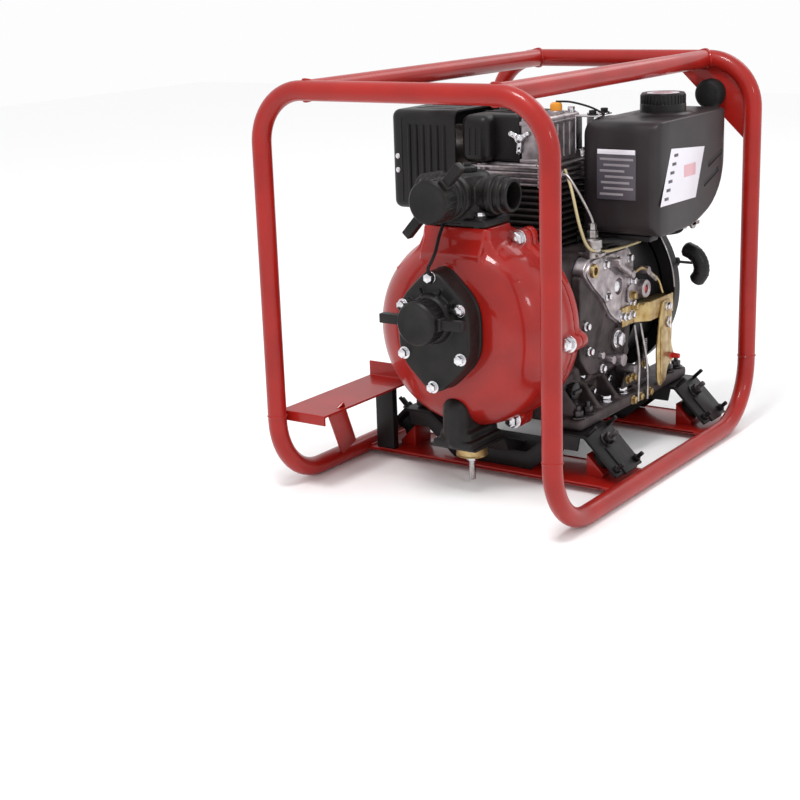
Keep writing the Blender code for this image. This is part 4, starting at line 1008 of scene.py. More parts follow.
def make_cylinder():
    low, high = span("cylinder_barrel")
    seat = 0.3305
    shapes = [worked(finned(Vector((low.x, low.y, seat)), high, 10, 0.016, 0.0012),
                     cutters=[drum((0, CYL.y, 0.3), (0, CYL.y, 0.44), 0.043)])]
    piece("cylinder_barrel_fins", shapes, IRON, ["cylinder_barrel"])
    low, high = span("cylinder_head")
    shapes = finned(low, high, 4, 0.012, 0.0012)
    corners = [(x, y) for x in (low.x + 0.012, high.x - 0.012) for y in (low.y + 0.012, high.y - 0.012)]
    shapes += [drum((*corner, low.z), (*corner, high.z - 0.001), 0.009, sides=32) for corner in corners]
    piece("cylinder_head_fins", shapes, SILVER, ["cylinder_head"])
    heads = bolts([(*corner, high.z - 0.001) for corner in corners[2:]], UP, 0.013, 0.008, 0.01, 0.004)
    piece("cylinder_head_nuts", heads, ZINC)


def make_rocker_cover():
    low, high = span("rocker_cover")
    top = 0.525
    left = 0.009
    cover = eased(block((left, low.y + 0.0012, low.z), (high.x, high.y, top)), 0.006, 5)
    foot = block((left, low.y, low.z), (high.x, high.y, low.z + 0.006), 0.0015)
    lid = block((left, low.y, top - 0.013), (high.x + 0.0006, high.y + 0.0006, top - 0.007), 0.0015)
    shapes = [cover, foot, lid]
    for step in range(5):
        y = low.y + 0.016 + step * 0.018
        shapes.append(block((high.x - 0.002, y - 0.0015, low.z + 0.006),
                            (high.x + 0.0012, y + 0.0015, top - 0.012), 0.0008))
        shapes.append(block((left + 0.004, y - 0.0012, top - 0.001), (high.x - 0.006, y + 0.0012, top + 0.0016),
                            0.0006))
    plug_x, plug_y = 0.035, 0.045
    shapes.append(drum((plug_x, plug_y, top - 0.003), (plug_x, plug_y, top + 0.004), 0.013, 0.012,
                       rounding=0.001))
    piece("rocker_cover_casting", shapes, SILVER, ["rocker_cover"])
    plug = [(0, high.z), (0.0055, high.z), (0.0082, high.z - 0.002), (0.0092, high.z - 0.005),
            (0.009, top + 0.004), (0, top + 0.004)]
    piece("rocker_cover_plug", [turned(plug, (plug_x, plug_y, 0), steps=40)], ORANGE)
    corners = ((high.x - 0.01, low.y + 0.01), (high.x - 0.01, high.y - 0.012), (left + 0.01, high.y - 0.012))
    piece("rocker_cover_bolts", bolts([(*corner, top) for corner in corners], UP, 0.009, 0.006, 0.007), ZINC)
    low, high = span("head_cowl")
    cowl = eased(block(low, high), 0.013, 6)
    wing = eased(block((high.x - 0.02, -0.0198, low.z), (left + 0.0005, 0.086, high.z - 0.0005)), 0.006, 4)
    ribs = [block((low.x + 0.01, y, high.z - 0.001), (left - 0.006, y + 0.004, high.z + 0.0012),
                  0.001) for y in (0.012, 0.034, 0.056)]
    ribs += [block((low.x + x, low.y - 0.0012, low.z + 0.012),
                   (low.x + x + 0.004, low.y + 0.002, high.z - 0.018), 0.001) for x in (0.014, 0.024, 0.034)]
    piece("head_cowl_pressing", [cowl, wing] + ribs, BLACK, ["head_cowl"])


def make_decompression_lever():
    low, high = span("decompression_lever")
    x, z = 0.012, 0.494
    front, rear = low.y, high.y
    deep = (front + rear) / 2 + 0.0008
    arms = []
    for angle, reach, half in ((155, 0.0198, 0.004), (30, 0.0178, 0.0035), (-95, 0.0228, 0.0035)):
        turn = spun((x, deep, z), -math.radians(angle), "Y")
        arms.append(moved(block((0, -0.0017, -half), (reach - 0.002, 0.0017, half), 0.001), turn))
        arms.append(moved(drum((reach - half, -0.0019, 0), (reach - half, 0.0019, 0), half, sides=32,
                               rounding=0.0006), turn))
    hub = drum((x, front, z), (x, rear, z), 0.0065, sides=40, rounding=0.001)
    pin = drum((x, front - 0.0012, z), (x, front + 0.001, z), 0.0032, sides=24, rounding=0.0006)
    piece("decompression_lever_fork", arms + [hub, pin], CHROME, ["decompression_lever"], "decompression_lever")


def make_injection():
    low, high = span("injection_pump")
    centre = (low + high) / 2
    body = [turned([(0, 0.352), (0.0115, 0.352), (0.014, 0.35), (0.014, 0.338), (0.0125, 0.337),
                    (0.0125, 0.333), (0.014, 0.332), (0.014, low.z), (0, low.z)], (centre.x, centre.y, 0),
                   steps=48)]
    body.append(drum((centre.x, centre.y, 0.351), (centre.x, centre.y, high.z), 0.0078, sides=6,
                     rounding=0.0006))
    body.append(block((centre.x - 0.02, centre.y - 0.01, low.z + 0.001),
                      (centre.x + 0.016, centre.y + 0.012, low.z + 0.007), 0.0015))
    piece("injection_pump_body", body, STEEL, ["injection_pump"])
    route = [(0.122, -0.005, 0.3643), (0.122, -0.006, 0.378), (0.114, -0.01, 0.398), (0.1, -0.01, 0.42),
             (0.082, -0.006, 0.44), (0.0675, -0.004, 0.442)]
    line = pipe(curve_through(route, 10), 0.0024, 20)
    nuts = [drum((0.122, -0.005, 0.3645), (0.122, -0.0052, 0.374), 0.0062, sides=6, rounding=0.0005),
            drum((0.0652, -0.004, 0.442), (0.0745, -0.0045, 0.4415), 0.0062, sides=6, rounding=0.0005)]
    piece("injection_pipe_line", [line] + nuts, STEEL, ["injection_pipe"])
    bleed = [(0.07, 0.008, 0.447), (0.092, -0.014, 0.424), (0.116, -0.031, 0.37), (0.127, -0.024, 0.34),
             (0.132, 0.016, 0.3295), (0.133, 0.08, 0.3265), (0.134, 0.136, 0.3275), (0.14, 0.176, 0.335),
             (0.15, 0.196, 0.35)]
    piece("fuel_return_pipe", [pipe(curve_through(bleed, 8), 0.0023, 16)], STRAW)
    feed = [(0.172, 0.196, 0.341), (0.166, 0.192, 0.334), (0.15, 0.176, 0.332), (0.139, 0.14, 0.334),
            (0.134, 0.06, 0.34), (0.128, 0.008, 0.345)]
    piece("fuel_feed_hose", [pipe(curve_through(feed, 8), 0.0036, 20)], RUBBER)
    y, z = 0.196, 0.3465
    tap = [drum((0.172, y, 0.338), (0.172, y, 0.372), 0.0062, sides=32, rounding=0.001),
           drum((0.16, y, z), (0.186, y, z), 0.0045, sides=32, rounding=0.0008),
           drum((0.186, y, z), (0.191, y, z), 0.0075, sides=32, rounding=0.001),
           block((0.1885, 0.188, 0.3435), (0.191, 0.216, 0.3495), 0.001)]
    piece("fuel_tap", tap, STEEL)


def make_oil_plug():
    low, high = span("oil_filler_plug")
    centre = (low + high) / 2
    rim = [(0, high.x - 0.0035), (0.0085, high.x - 0.0035), (0.013, high.x - 0.005), (0.013, low.x + 0.006),
           (0.0105, low.x + 0.006), (0.0105, low.x), (0, low.x)]
    shapes = [turned(rim, (0, centre.y, centre.z), OUTSIDE, 48),
              block((high.x - 0.006, centre.y - 0.0105, centre.z - 0.003),
                    (high.x, centre.y + 0.0105, centre.z + 0.003), 0.0012)]
    shapes += knurled(12, (0, centre.y, centre.z), "X", (low.x + 0.0065, -0.0012, 0.012),
                      (high.x - 0.0055, 0.0012, 0.0136), 0.0004)
    piece("oil_filler_plug_moulding", shapes, ABS, ["oil_filler_plug"], "oil_plug")


def make_speed_control():
    low, high = span("speed_bracket")
    inner = low.x
    strip = [(inner, 0.075), (inner + 0.003, 0.075), (inner + 0.003, 0.1135), (0.149, 0.1335), (0.149, 0.215),
             (0.146, 0.215), (0.146, 0.135), (inner, 0.115)]
    bent = rounded(strip, 0.0025, 4, True)
    bracket = [slab(bent, high.z - low.z, facing_up(low.z), 0.0008)]
    bracket.append(block((0.128, 0.118, high.z - 0.003), (0.146, 0.198, high.z - 0.0005), 0.001))
    piece("speed_bracket_plate", bracket, GOLD, ["speed_bracket"])
    pivot = Vector((0.1522, 0.185, 0.216))
    fixings = bolt(pivot, OUTSIDE, 0.0105, 0.005, 0.0068)
    fixings += bolts([(inner + 0.003, y, 0.217) for y in (0.085, 0.103)], OUTSIDE, 0.009, 0.0055, 0.007)
    piece("speed_bracket_bolts", fixings, ZINC)
    low, high = span("speed_lever")
    y, z = pivot.y, pivot.z
    outline = [(y - 0.014, z + 0.01), (y - 0.026, 0.196), (y - 0.034, 0.15), (y - 0.032, 0.104),
               (y - 0.022, 0.09), (y - 0.002, 0.096), (y + 0.006, 0.118), (y + 0.028, 0.126),
               (y + 0.026, 0.137), (y + 0.018, 0.152), (y + 0.02, 0.192), (y + 0.014, z + 0.01)]
    soft = rounded(reversed(outline), 0.005, 5, True)
    hole = arc((y, z), 0.0043, 0, 345, 23)
    lever = slab(soft, 0.0028, facing_side(low.x + 0.0001), 0.0006, [hole])
    rib = block((low.x + 0.0029, y - 0.022, 0.108), (low.x + 0.0042, y - 0.014, 0.186), 0.001)
    piece("speed_lever_plate", [lever, rib], GOLD, ["speed_lever"], "speed_control_lever")
    grip = drum((low.x + 0.0015, y + 0.022, 0.1315), (high.x, y + 0.022, 0.1315), 0.0046, 0.0038, 32,
                rounding=0.0012)
    bead = slab([(y + 0.012, 0.1265), (y + 0.0265, 0.1262), (y + 0.0262, 0.1372), (y + 0.012, 0.1362)], 0.0042,
                facing_side(low.x - 0.0006), 0.0012)
    piece("speed_lever_grip", [grip, bead], RED_TIP, body="speed_control_lever")
    tab = [(0.196, 0.196), (0.214, 0.206), (0.222, 0.196), (0.212, 0.184), (0.222, 0.172), (0.204, 0.168)]
    star = slab(tab, 0.0025, facing_side(0.134), 0.0006, [arc((0.209, 0.19), 0.0035, 0, 340, 17)])
    piece("governor_arm", [star], ZINC)
    badge = [(y - 0.004, 0.19), (y + 0.004, 0.199), (y + 0.013, 0.196), (y + 0.01, 0.188), (y + 0.013, 0.178),
             (y + 0.002, 0.182)]
    clip = slab(badge, 0.0022, facing_side(low.x + 0.0029), 0.0006,
                [arc((y + 0.005, 0.189), 0.0028, 0, 340, 17)])
    piece("speed_lever_clip", [clip], ZINC, body="speed_control_lever")


def make_governor_details():
    """The stop linkage, spring and brackets low on the tank side."""
    rods = [pipe(curve_through([(0.136, 0.104, 0.2), (0.146, 0.1, 0.15), (0.149, 0.094, 0.118),
                                (0.149, 0.092, 0.084)], 8), 0.0021, 16),
            pipe(curve_through([(0.137, 0.122, 0.2), (0.146, 0.124, 0.15), (0.149, 0.124, 0.118),
                                (0.149, 0.124, 0.08)], 8), 0.0021, 16)]
    coil = []
    for step in range(14 * 12 + 1):
        turn = 2 * math.pi * step / 12
        coil.append((0.136 + 0.0036 * math.cos(turn), 0.14 + 0.0036 * math.sin(turn),
                     0.13 + 0.042 * step / 168))
    rods.append(pipe(coil, 0.0008, 8))
    piece("governor_linkage", rods, STEEL)
    plate = [(0.068, 0.106), (0.16, 0.106), (0.166, 0.118), (0.15, 0.14), (0.12, 0.14), (0.11, 0.125),
             (0.08, 0.125)]
    soft = rounded(plate, 0.004, 4, True)
    bracket = [slab(soft, 0.003, facing_side(0.1305), 0.0006, [arc((0.152, 0.123), 0.005, 0, 340, 17)]),
               block((0.108, 0.072, 0.0985), (0.1335, 0.162, 0.1015), 0.0008)]
    piece("linkage_bracket", bracket, CASE)
    places = [(0.1335, y, z) for y, z in ((0.086, 0.118), (0.104, 0.118), (0.14, 0.131))]
    nuts = bolts(places, OUTSIDE, 0.0085, 0.005, 0.0065)
    nuts += bolts([(0.146, y, 0.0885) for y in (0.081, 0.103, 0.136)], OUTSIDE, 0.01, 0.005, 0.007)
    piece("linkage_nuts", nuts, GOLD)
    plugs = [drum((0.104, y, z), (end, y, z), *sizes) for y, z, end,
             *sizes in ((0.045, 0.158, 0.133, 0.0075, 0.0065, 32, 0.0012),
                        (0.072, 0.152, 0.136, 0.011, 0.01, 40, 0.0016),
                        (0.112, 0.128, 0.137, 0.009, 0.008, 40, 0.0014),
                        (0.02, 0.17, 0.128, 0.006, 0.0055, 32, 0.0012))]
    piece("gallery_plugs", plugs, SILVER)
    arm = [(0.092, 0.236), (0.118, 0.236), (0.146, 0.24), (0.15, 0.252), (0.144, 0.264), (0.118, 0.268),
           (0.092, 0.262)]
    soft = rounded(arm, 0.006, 5, True)
    stop = [slab(soft, 0.0035, facing_side(0.1283), 0.0008),
            turned([(0.0065, 0.0), (0.014, 0.0), (0.014, 0.011), (0.0125, 0.0125), (0.008, 0.0125),
                    (0.0065, 0.011)], (0.13, 0.134, 0.252), OUTSIDE, 56, True)]
    piece("stop_boss_casting", stop, SILVER)
    button = turned([(0, 0.01), (0.004, 0.01), (0.006, 0.0085), (0.0062, 0.0), (0, 0.0)], (0.13, 0.134, 0.252),
                    OUTSIDE, 40)
    piece("stop_button", [button], RED_TIP)
    arm = pipe(curve_through([(0.134, 0.045, 0.309), (0.137, 0.065, 0.2964), (0.138, 0.088, 0.283)], 6), 0.0048,
               20)
    hubs = [drum((0.126, y, z), (0.1435, y, z), 0.0066, 0.006, 32, 0.001) for y,
            z in ((0.045, 0.309), (0.088, 0.283), (0.139, 0.28))]
    piece("governor_rocker_arm", [arm] + hubs, SILVER)
    link = curve_through([(0.14, 0.088, 0.283), (0.14, 0.118, 0.287), (0.14, 0.139, 0.28)], 6)
    tail = curve_through([(0.14, 0.139, 0.28), (0.141, 0.174, 0.2594), (0.143, 0.187, 0.236)], 6)
    piece("governor_link_rod", [pipe(link, 0.0021, 16), pipe(tail, 0.0021, 16)], GOLD)
    start, end = Vector((0.138, 0.143, 0.2765)), Vector((0.138, 0.172, 0.26))
    turn = stand(start, end - start)
    coil = [turn @ Vector((0.0042 * math.cos(a * 0.5), 0.0042 * math.sin(a * 0.5),
                           (end - start).length * a / 120)) for a in range(121)]
    piece("governor_spring", [pipe(coil, 0.0008, 8)], STEEL)
    places = [(0.1318, y, z) for y, z in ((0.104, 0.247), (0.112, 0.228))]
    piece("stop_boss_nuts", bolts(places, OUTSIDE, 0.01, 0.006, 0.0075), GOLD)


# ---- flywheel end ----
def make_shroud():
    low, high = span("blower_shroud")
    front, rear = low.y, high.y
    wall = [(0.07, rear), (0.118, rear), (0.1245, rear - 0.003), (0.128, rear - 0.01), (0.128, front),
            (0.1255, front), (0.1255, rear - 0.011), (0.1225, rear - 0.0045), (0.117, rear - 0.0025),
            (0.07, rear - 0.0025)]
    lip = [(0.1285, front), (0.1292, front + 0.001), (0.1292, front + 0.005), (0.1285, front + 0.006),
           (0.1255, front + 0.006), (0.1255, front)]
    shapes = [turned(wall, (0, 0, CRANK.z), BEHIND, 112, True), turned(lip, (0, 0, CRANK.z), BEHIND, 112, True)]
    for place in ring_places(4, 0.112, (0, rear - 0.001, CRANK.z), BEHIND, 45):
        shapes.append(drum(place, place + Vector((0, 0.0022, 0)), 0.01, 0.008, sides=32, rounding=0.0005))
    piece("blower_shroud_pressing", shapes, BLACK, ["blower_shroud"])
    duct = [(-0.075, 0.33), (0.075, 0.33), (0.07, 0.458), (-0.07, 0.458)]
    outer = slab(duct, 0.058, facing_front(0.1965), 0.008, segments=4)
    inner = slab([(x * 0.95, z) for x, z in duct], 0.0575, facing_front(0.1925))
    piece("air_duct_pressing", [worked([outer], cutters=[moved(inner, Matrix.Translation((0, -0.002, 0)))])],
          BLACK)
    screws = ring_places(4, 0.112, (0, rear + 0.001, CRANK.z), BEHIND, 45)
    piece("blower_shroud_screws", bolts(screws, BEHIND, 0.009, 0.0045, 0.0072), ZINC)


def make_recoil():
    low, high = span("recoil_cover")
    rear = high.y
    reach = high.x
    front = 0.2165
    centre = (0, 0, CRANK.z)
    wall = 0.0025
    skin = [(0, rear), (0.064, rear), (0.066, rear - 0.0012), (0.085, rear - 0.0012), (0.112, rear - 0.0045),
            (0.13, rear - 0.011), (0.143, rear - 0.021), (reach, rear - 0.032), (reach, front), (0.129, front),
            (0.129, front + wall), (reach - wall, front + wall), (reach - wall, rear - 0.033),
            (0.14, rear - 0.0225), (0.119, rear - 0.01), (0.085, rear - 0.004), (0.008, rear - 0.004),
            (0.008, 0.23), (0, 0.23)]
    cover = turned(skin, centre, BEHIND, 128)
    rope_z = CRANK.z + 0.0405
    cutters = [drum((0.12, 0.242, rope_z), (0.165, 0.242, rope_z), 0.004, sides=24)]
    for index in range(16):
        turn = spun(centre, 2 * math.pi * index / 16 + 0.13, "Y")
        cutters.append(moved(block((0.072, rear - 0.03, -0.004), (0.102, rear + 0.01, 0.004), 0.0035), turn))
    shapes = [worked([cover], cutters=cutters)]
    lug_places = ring_places(4, 0.126, (0, rear - 0.018, CRANK.z), BEHIND, 45)
    for place in lug_places:
        shapes.append(drum(place, place + Vector((0, 0.013, 0)), 0.0125, 0.0105, sides=40, rounding=0.0008))
    for radius, start, end in ((0.11, 20, 75), (0.118, 105, 165), (0.05, 15, 120)):
        bead = [(x, rear - 0.004 if radius > 0.1 else rear, z) for x,
                z in arc((0, CRANK.z), radius, start, end, 28)]
        shapes.append(pipe(bead, 0.0022, 16))
    piece("recoil_cover_pressing", shapes, BLACK, ["recoil_cover"])
    # Painted highlight: a bright steel strip over part of the cover's front rim stands in for the light along
    # its glossy black edge
    rim = [(x, front - 0.0006, z) for x, z in arc((0, CRANK.z), reach - 0.0004, 2, 46, 30)]
    piece("recoil_cover_highlight_strip", [pipe(rim, 0.0015, 12)], STEEL)
    screws = [place + 0.0128 * ALONG_Y for place in lug_places]
    piece("recoil_cover_screws", bolts(screws, BEHIND, 0.01, 0.005, 0.008), ZINC)
    badge = [(0, rear + 0.0006), (0.03, rear + 0.0006), (0.031, rear - 0.0002), (0.031, rear - 0.001),
             (0, rear - 0.001)]
    piece("recoil_cover_badge", [turned(badge, centre, BEHIND, 64)], WHITE_FILM)
    ring = turned([(0.011, rear + 0.001), (0.015, rear + 0.001), (0.015, rear), (0.011, rear)], centre, BEHIND,
                  56, True)
    piece("recoil_cover_badge_ring", [ring], PALE_RED_FILM)
    low, high = span("starter_rope")
    rope_y = (low.y + high.y) / 2
    strand = drum((low.x, rope_y, rope_z), (high.x, rope_y, rope_z), 0.0022, sides=24)
    piece("starter_rope_cord", [strand], CORD, ["starter_rope"], "starter_grip")
    ferrule = turned([(0.004, 0.0), (0.007, 0.001), (0.007, 0.005), (0.004, 0.006)], (0.139, rope_y, rope_z),
                     OUTSIDE, 32, True)
    piece("starter_rope_guide", [ferrule], ABS)
    bow = [(0.158, rope_y, 0.297), (0.173, rope_y, 0.29), (0.182, rope_y, 0.277), (0.1835, rope_y, 0.262),
           (0.176, rope_y, 0.249)]
    path = curve_through(bow, 12)
    grip = [pipe(path, 0.0124, 28)]
    for end, inner in ((path[0], path[2]), (path[-1], path[-3])):
        away = (end - inner).normalized()
        grip.append(moved(turned([(0, 0.006), (0.005, 0.0056), (0.009, 0.004), (0.0115, 0.001),
                                  (0.0124, -0.002), (0, -0.002)], steps=28), stand(end, away)))
    for index in range(9, 40, 4):
        aim = (path[index + 1] - path[index - 1]).normalized()
        grip.append(moved(turned([(0.0115, 0.0012), (0.0129, 0.0006), (0.0129, -0.0006), (0.0115, -0.0012)],
                                 steps=28, closed=True), stand(path[index], aim)))
    piece("starter_handle_grip", grip, ABS, ["starter_handle"], "starter_grip")


# ---- exhaust, intake and fuel ----
def make_muffler():
    low, high = span("muffler_guard")
    wall = 0.0025
    shell = eased(block((low.x, low.y, low.z), (-0.07, high.y, high.z)), 0.012, 5)
    cavity = eased(block((low.x + wall, low.y + wall, low.z + wall), (-0.04, high.y - wall, high.z - wall)),
                   0.0095, 5)
    cutters = [cavity, block((-0.0835, low.y - 0.02, low.z - 0.02), (-0.03, high.y + 0.02, high.z + 0.02))]
    for row in range(5):
        z = low.z + 0.036 + row * 0.018
        cutters.append(block((low.x - 0.01, low.y + 0.026, z), (low.x + 0.01, high.y - 0.026, z + 0.006),
                             0.0029))
    for step in range(4):
        y = low.y + 0.028 + step * 0.022
        cutters.append(block((low.x + 0.028, y, high.z - 0.01), (-0.1, y + 0.007, high.z + 0.01), 0.003))
    shapes = [worked([shell], cutters=cutters)]
    for step in range(6):
        x = low.x + 0.034 + step * 0.0125
        rib = pipe([(x, low.y + 0.0004, low.z + 0.022), (x, low.y + 0.0004, high.z - 0.022)], 0.003, 20)
        shapes.append(rib)
    shapes.append(pipe([(low.x + 0.02, low.y + 0.0006, low.z + 0.012),
                        (low.x + 0.02, low.y + 0.0006, high.z - 0.012)], 0.0016, 16))
    piece("muffler_guard_pressing", shapes, BLACK, ["muffler_guard"])
    screws = []
    for z in (0.464, 0.443):
        screws.append(turned([(0, 0.0032), (0.0022, 0.003), (0.004, 0.0016), (0.0045, 0), (0, 0)],
                             (low.x + 0.013, low.y + 0.0002, z), AHEAD, 28))
    piece("muffler_guard_screws", screws, ZINC)
    centre = (-0.143, 0, 0.459)
    body = [(0, 0.066), (0.03, 0.066), (0.041, 0.063), (0.0432, 0.058), (0.044, 0.057), (0.044, 0.055),
            (0.043, 0.054), (0.043, -0.024), (0.044, -0.025), (0.044, -0.027), (0.0432, -0.028),
            (0.041, -0.033), (0.03, -0.036), (0, -0.036)]
    barrel = [turned(body, centre, BEHIND, 72), drum((-0.12, 0.02, 0.4415), (-0.0645, 0.02, 0.4415), 0.0145,
                                                     sides=40, rounding=0.001),
              block((-0.07, -0.002, 0.424), (-0.0648, 0.042, 0.4575), 0.0015)]
    outlet = turned([(0.0085, 0.0), (0.0105, 0.0), (0.0105, 0.022), (0.0085, 0.022)], (-0.176, 0.04, 0.47),
                    (-1, 0, 0), 40, True)
    piece("muffler_barrel_body", barrel + [outlet], HOT_STEEL, ["muffler_barrel"])


def make_air_cleaner():
    low, high = span("air_cleaner")
    right = -0.095
    base = eased(block((low.x + 0.001, low.y + 0.001, low.z), (right - 0.001, high.y - 0.001, 0.47)), 0.01, 5)
    lid = eased(block((low.x, low.y, 0.4715), (right, high.y, high.z)), 0.01, 5)
    seam = block((low.x + 0.0015, low.y + 0.0015, 0.462), (right - 0.0015, high.y - 0.0015, 0.48), 0.006)
    shapes = [base, lid, seam]
    for step in range(4):
        x = low.x + 0.018 + step * 0.022
        shapes.append(block((x, low.y + 0.015, high.z - 0.001), (x + 0.005, high.y - 0.015, high.z + 0.0016),
                            0.0012))
        shapes.append(block((x, high.y - 0.001, low.z + 0.018), (x + 0.005, high.y + 0.0016, 0.455), 0.0012))
    bend = [(-0.105, 0.138), (-0.07, 0.138)] + arc((-0.06, 0.128), 0.01, 90, 0, 10) + [(-0.05, 0.1105)]
    shapes.append(pipe([(x, y, 0.441) for x, y in bend], 0.0112, 32))
    shapes.append(turned([(0.0112, 0.0), (0.013, 0.001), (0.013, 0.009), (0.0112, 0.01)],
                         (-0.092, 0.138, 0.441), OUTSIDE, 32, True))
    piece("air_cleaner_case", shapes, NYLON, ["air_cleaner"])
    clip = [block((low.x - 0.0012, 0.14, 0.448), (low.x + 0.001, 0.158, 0.496), 0.001),
            turned([(0, 0.0165), (0.004, 0.016), (0.007, 0.013), (0.009, 0.006), (0.009, 0), (0, 0)],
                   (-0.148, 0.15, high.z - 0.002), UP, 32)]
    piece("air_cleaner_clip", clip, ZINC)


def tank_side():
    """The tank's side outline: flat ahead, swept up at the rear."""
    low = TANK_LOW
    return [(low.y, TANK_TOP), (low.y, low.z + 0.01), (low.y + 0.012, low.z - 0.003), (0.16, low.z - 0.001),
            (0.222, low.z + 0.018), (0.252, low.z + 0.042), (0.272, low.z + 0.078),
            (TANK_HIGH.y - 0.002, 0.492), (TANK_HIGH.y, TANK_TOP)]


def make_tank():
    top = TANK_TOP
    low_x, high_x = TANK_LOW.x, TANK_HIGH.x
    side = rounded(tank_side(), 0.02, 6, True)
    body = slab(side, high_x - low_x, facing_side(low_x))
    plan = [(low_x, TANK_LOW.y + 0.03), (low_x + 0.024, TANK_LOW.y + 0.003), (high_x - 0.004, TANK_LOW.y),
            (high_x, TANK_LOW.y + 0.024), (high_x, TANK_HIGH.y - 0.02), (high_x - 0.024, TANK_HIGH.y),
            (low_x + 0.02, TANK_HIGH.y), (low_x, TANK_HIGH.y - 0.02)]
    around = rounded(plan, 0.024, 6, True)
    frame_cut = slab([(-0.2, -0.2), (0.5, -0.2), (0.5, 0.6), (-0.2, 0.6)], 0.4, facing_up(0.25), holes=[around])
    slant = slab([(low_x - 0.02, top + 0.02), (low_x - 0.02, top - 0.036), (low_x, top - 0.024),
                  (low_x + 0.022, top + 0.001), (low_x + 0.022, top + 0.02)], 0.34, facing_front(0.32))
    block_of = worked([body], cutters=[frame_cut, slant])
    neck = drum((FILLER.x, FILLER.y, top - 0.008), (FILLER.x, FILLER.y, top + 0.004), 0.046, 0.042)
    pad = block((0.086, 0.06, top - 0.01), (0.124, 0.112, top + 0.002), 0.006)
    skin = worked([block_of, neck, pad], 0.0022, 16)
    groove_cutters = []
    for start, end in (((0.206, 0.436), (0.258, 0.452)), ((0.192, 0.408), (0.246, 0.426))):
        lean = math.atan2(end[1] - start[1], end[0] - start[0])
        length = math.hypot(end[0] - start[0], end[1] - start[1])
        groove = block((-0.003, 0, -0.0045), (0.003, length, 0.0045), 0.0028)
        turn = spun((high_x, start[0], start[1]), lean, "X")
        groove_cutters.append(moved(groove, turn))
    inside = eased(block((low_x + 0.008, TANK_LOW.y + 0.012, 0.42),
                         (high_x - 0.008, TANK_HIGH.y - 0.026, top - 0.007)), 0.014, 3)
    low_inside = eased(block((low_x + 0.008, TANK_LOW.y + 0.012, TANK_LOW.z + 0.006),
                             (high_x - 0.008, 0.16, 0.43)), 0.014, 3)
    bore = drum((FILLER.x, FILLER.y, top - 0.02), (FILLER.x, FILLER.y, top + 0.02), 0.024)
    tall = drum((FILLER.x, FILLER.y, top), (FILLER.x, FILLER.y, TANK_HIGH.z), 0.028)
    shapes = [worked([skin, tall], cutters=[inside, low_inside, bore] + groove_cutters)]
    piece("fuel_tank_moulding", shapes, NYLON, ["fuel_tank"], sharp=50)


def make_fuel_cap():
    low, high = span("fuel_cap")
    x, y = FILLER.x, FILLER.y
    top = high.z
    shell = [(0, top - 0.001), (0.025, top - 0.001), (0.0262, top), (0.0315, top), (0.033, top - 0.0018),
             (0.033, low.z + 0.013), (0.0345, low.z + 0.0115), (0.0345, low.z + 0.001), (0.0335, low.z),
             (0.0283, low.z), (0.0283, low.z + 0.0114), (0, low.z + 0.0114)]
    shapes = [turned(shell, (x, y, 0), steps=96)]
    shapes += knurled(36, (x, y, 0), "Z", (0.0322, -0.0012, low.z + 0.012), (0.0341, 0.0012, top - 0.003),
                      0.0005, 2)
    piece("fuel_cap_moulding", shapes, ABS, ["fuel_cap"], "fuel_cap")
    disc = turned([(0, 0.0006), (0.024, 0.0006), (0.0243, 0.0), (0, -0.0006)], (x, y, top - 0.0008), steps=64)
    piece("fuel_cap_disc", [disc], WHITE_FILM, body="fuel_cap")
    mark = turned([(0.008, 0.0004), (0.014, 0.0004), (0.014, -0.0004), (0.008, -0.0004)], (x, y, top), steps=48,
                  closed=True)
    piece("fuel_cap_mark", [mark], PALE_RED_FILM, body="fuel_cap")


def make_tank_labels():
    """Blank labels: a grey panel ahead, a slanted white one on the side, a crescent behind."""
    front = TANK_LOW.y
    panel = block((0.107, front - 0.0005, 0.403), (0.17, front + 0.003, 0.474), 0.0004, 2)
    side = TANK_HIGH.x
    white = slab([(0.077, 0.475), (0.192, 0.466), (0.163, 0.393), (0.043, 0.395)][::-1], 0.0008,
                 facing_side(side - 0.0004), 0.0003)
    piece("tank_side_label", [white], WHITE_FILM)
    stripe = block((0.108, front - 0.0009, 0.469), (0.169, front, 0.476), 0.0003, 2)
    piece("tank_front_label_stripe", [stripe], WHITE_FILM)
    bars = []
    for row, (left, right) in enumerate(((0.112, 0.166), (0.118, 0.16), (0.112, 0.152), (0.12, 0.166),
                                         (0.114, 0.16), (0.118, 0.166), (0.112, 0.15))):
        z = 0.46 - row * 0.0085
        bars.append(block((left, front - 0.0009, z), (right, front, z + 0.0035), 0.0003, 2))
    piece("tank_front_label_bars", bars, GREY_FILM)
    piece("tank_front_label_panel", [panel], DARK_FILM)
    dots = []
    for row in range(6):
        y = 0.086 - row * 0.0062
        z = 0.464 - row * 0.012
        dots.append(block((side, y, z - 0.0022), (side + 0.0009, y + 0.013, z + 0.0022), 0.0003, 2))
    piece("tank_side_label_marks", dots, DARK_FILM)
    patch = block((side, 0.12, 0.428), (side + 0.0009, 0.16, 0.446), 0.0004, 2)
    piece("tank_side_label_patch", [patch], PALE_RED_FILM)
    rear = TANK_HIGH.y
    crescent = arc((0.146, 0.462), 0.03, -62, 62, 20) + arc((0.146, 0.462), 0.019, 58, -58, 20)
    moon = slab(crescent, 0.003, facing_front(rear + 0.0006), 0.0002)
    piece("tank_rear_label", [moon], YELLOW_FILM)
    dots = [slab(arc(place, 0.0055, 0, 330, 11), 0.003, facing_front(rear + 0.0006),
                 0.0002) for place in ((0.112, 0.458), (0.122, 0.444))]
    piece("tank_rear_marks", dots, WHITE_FILM)


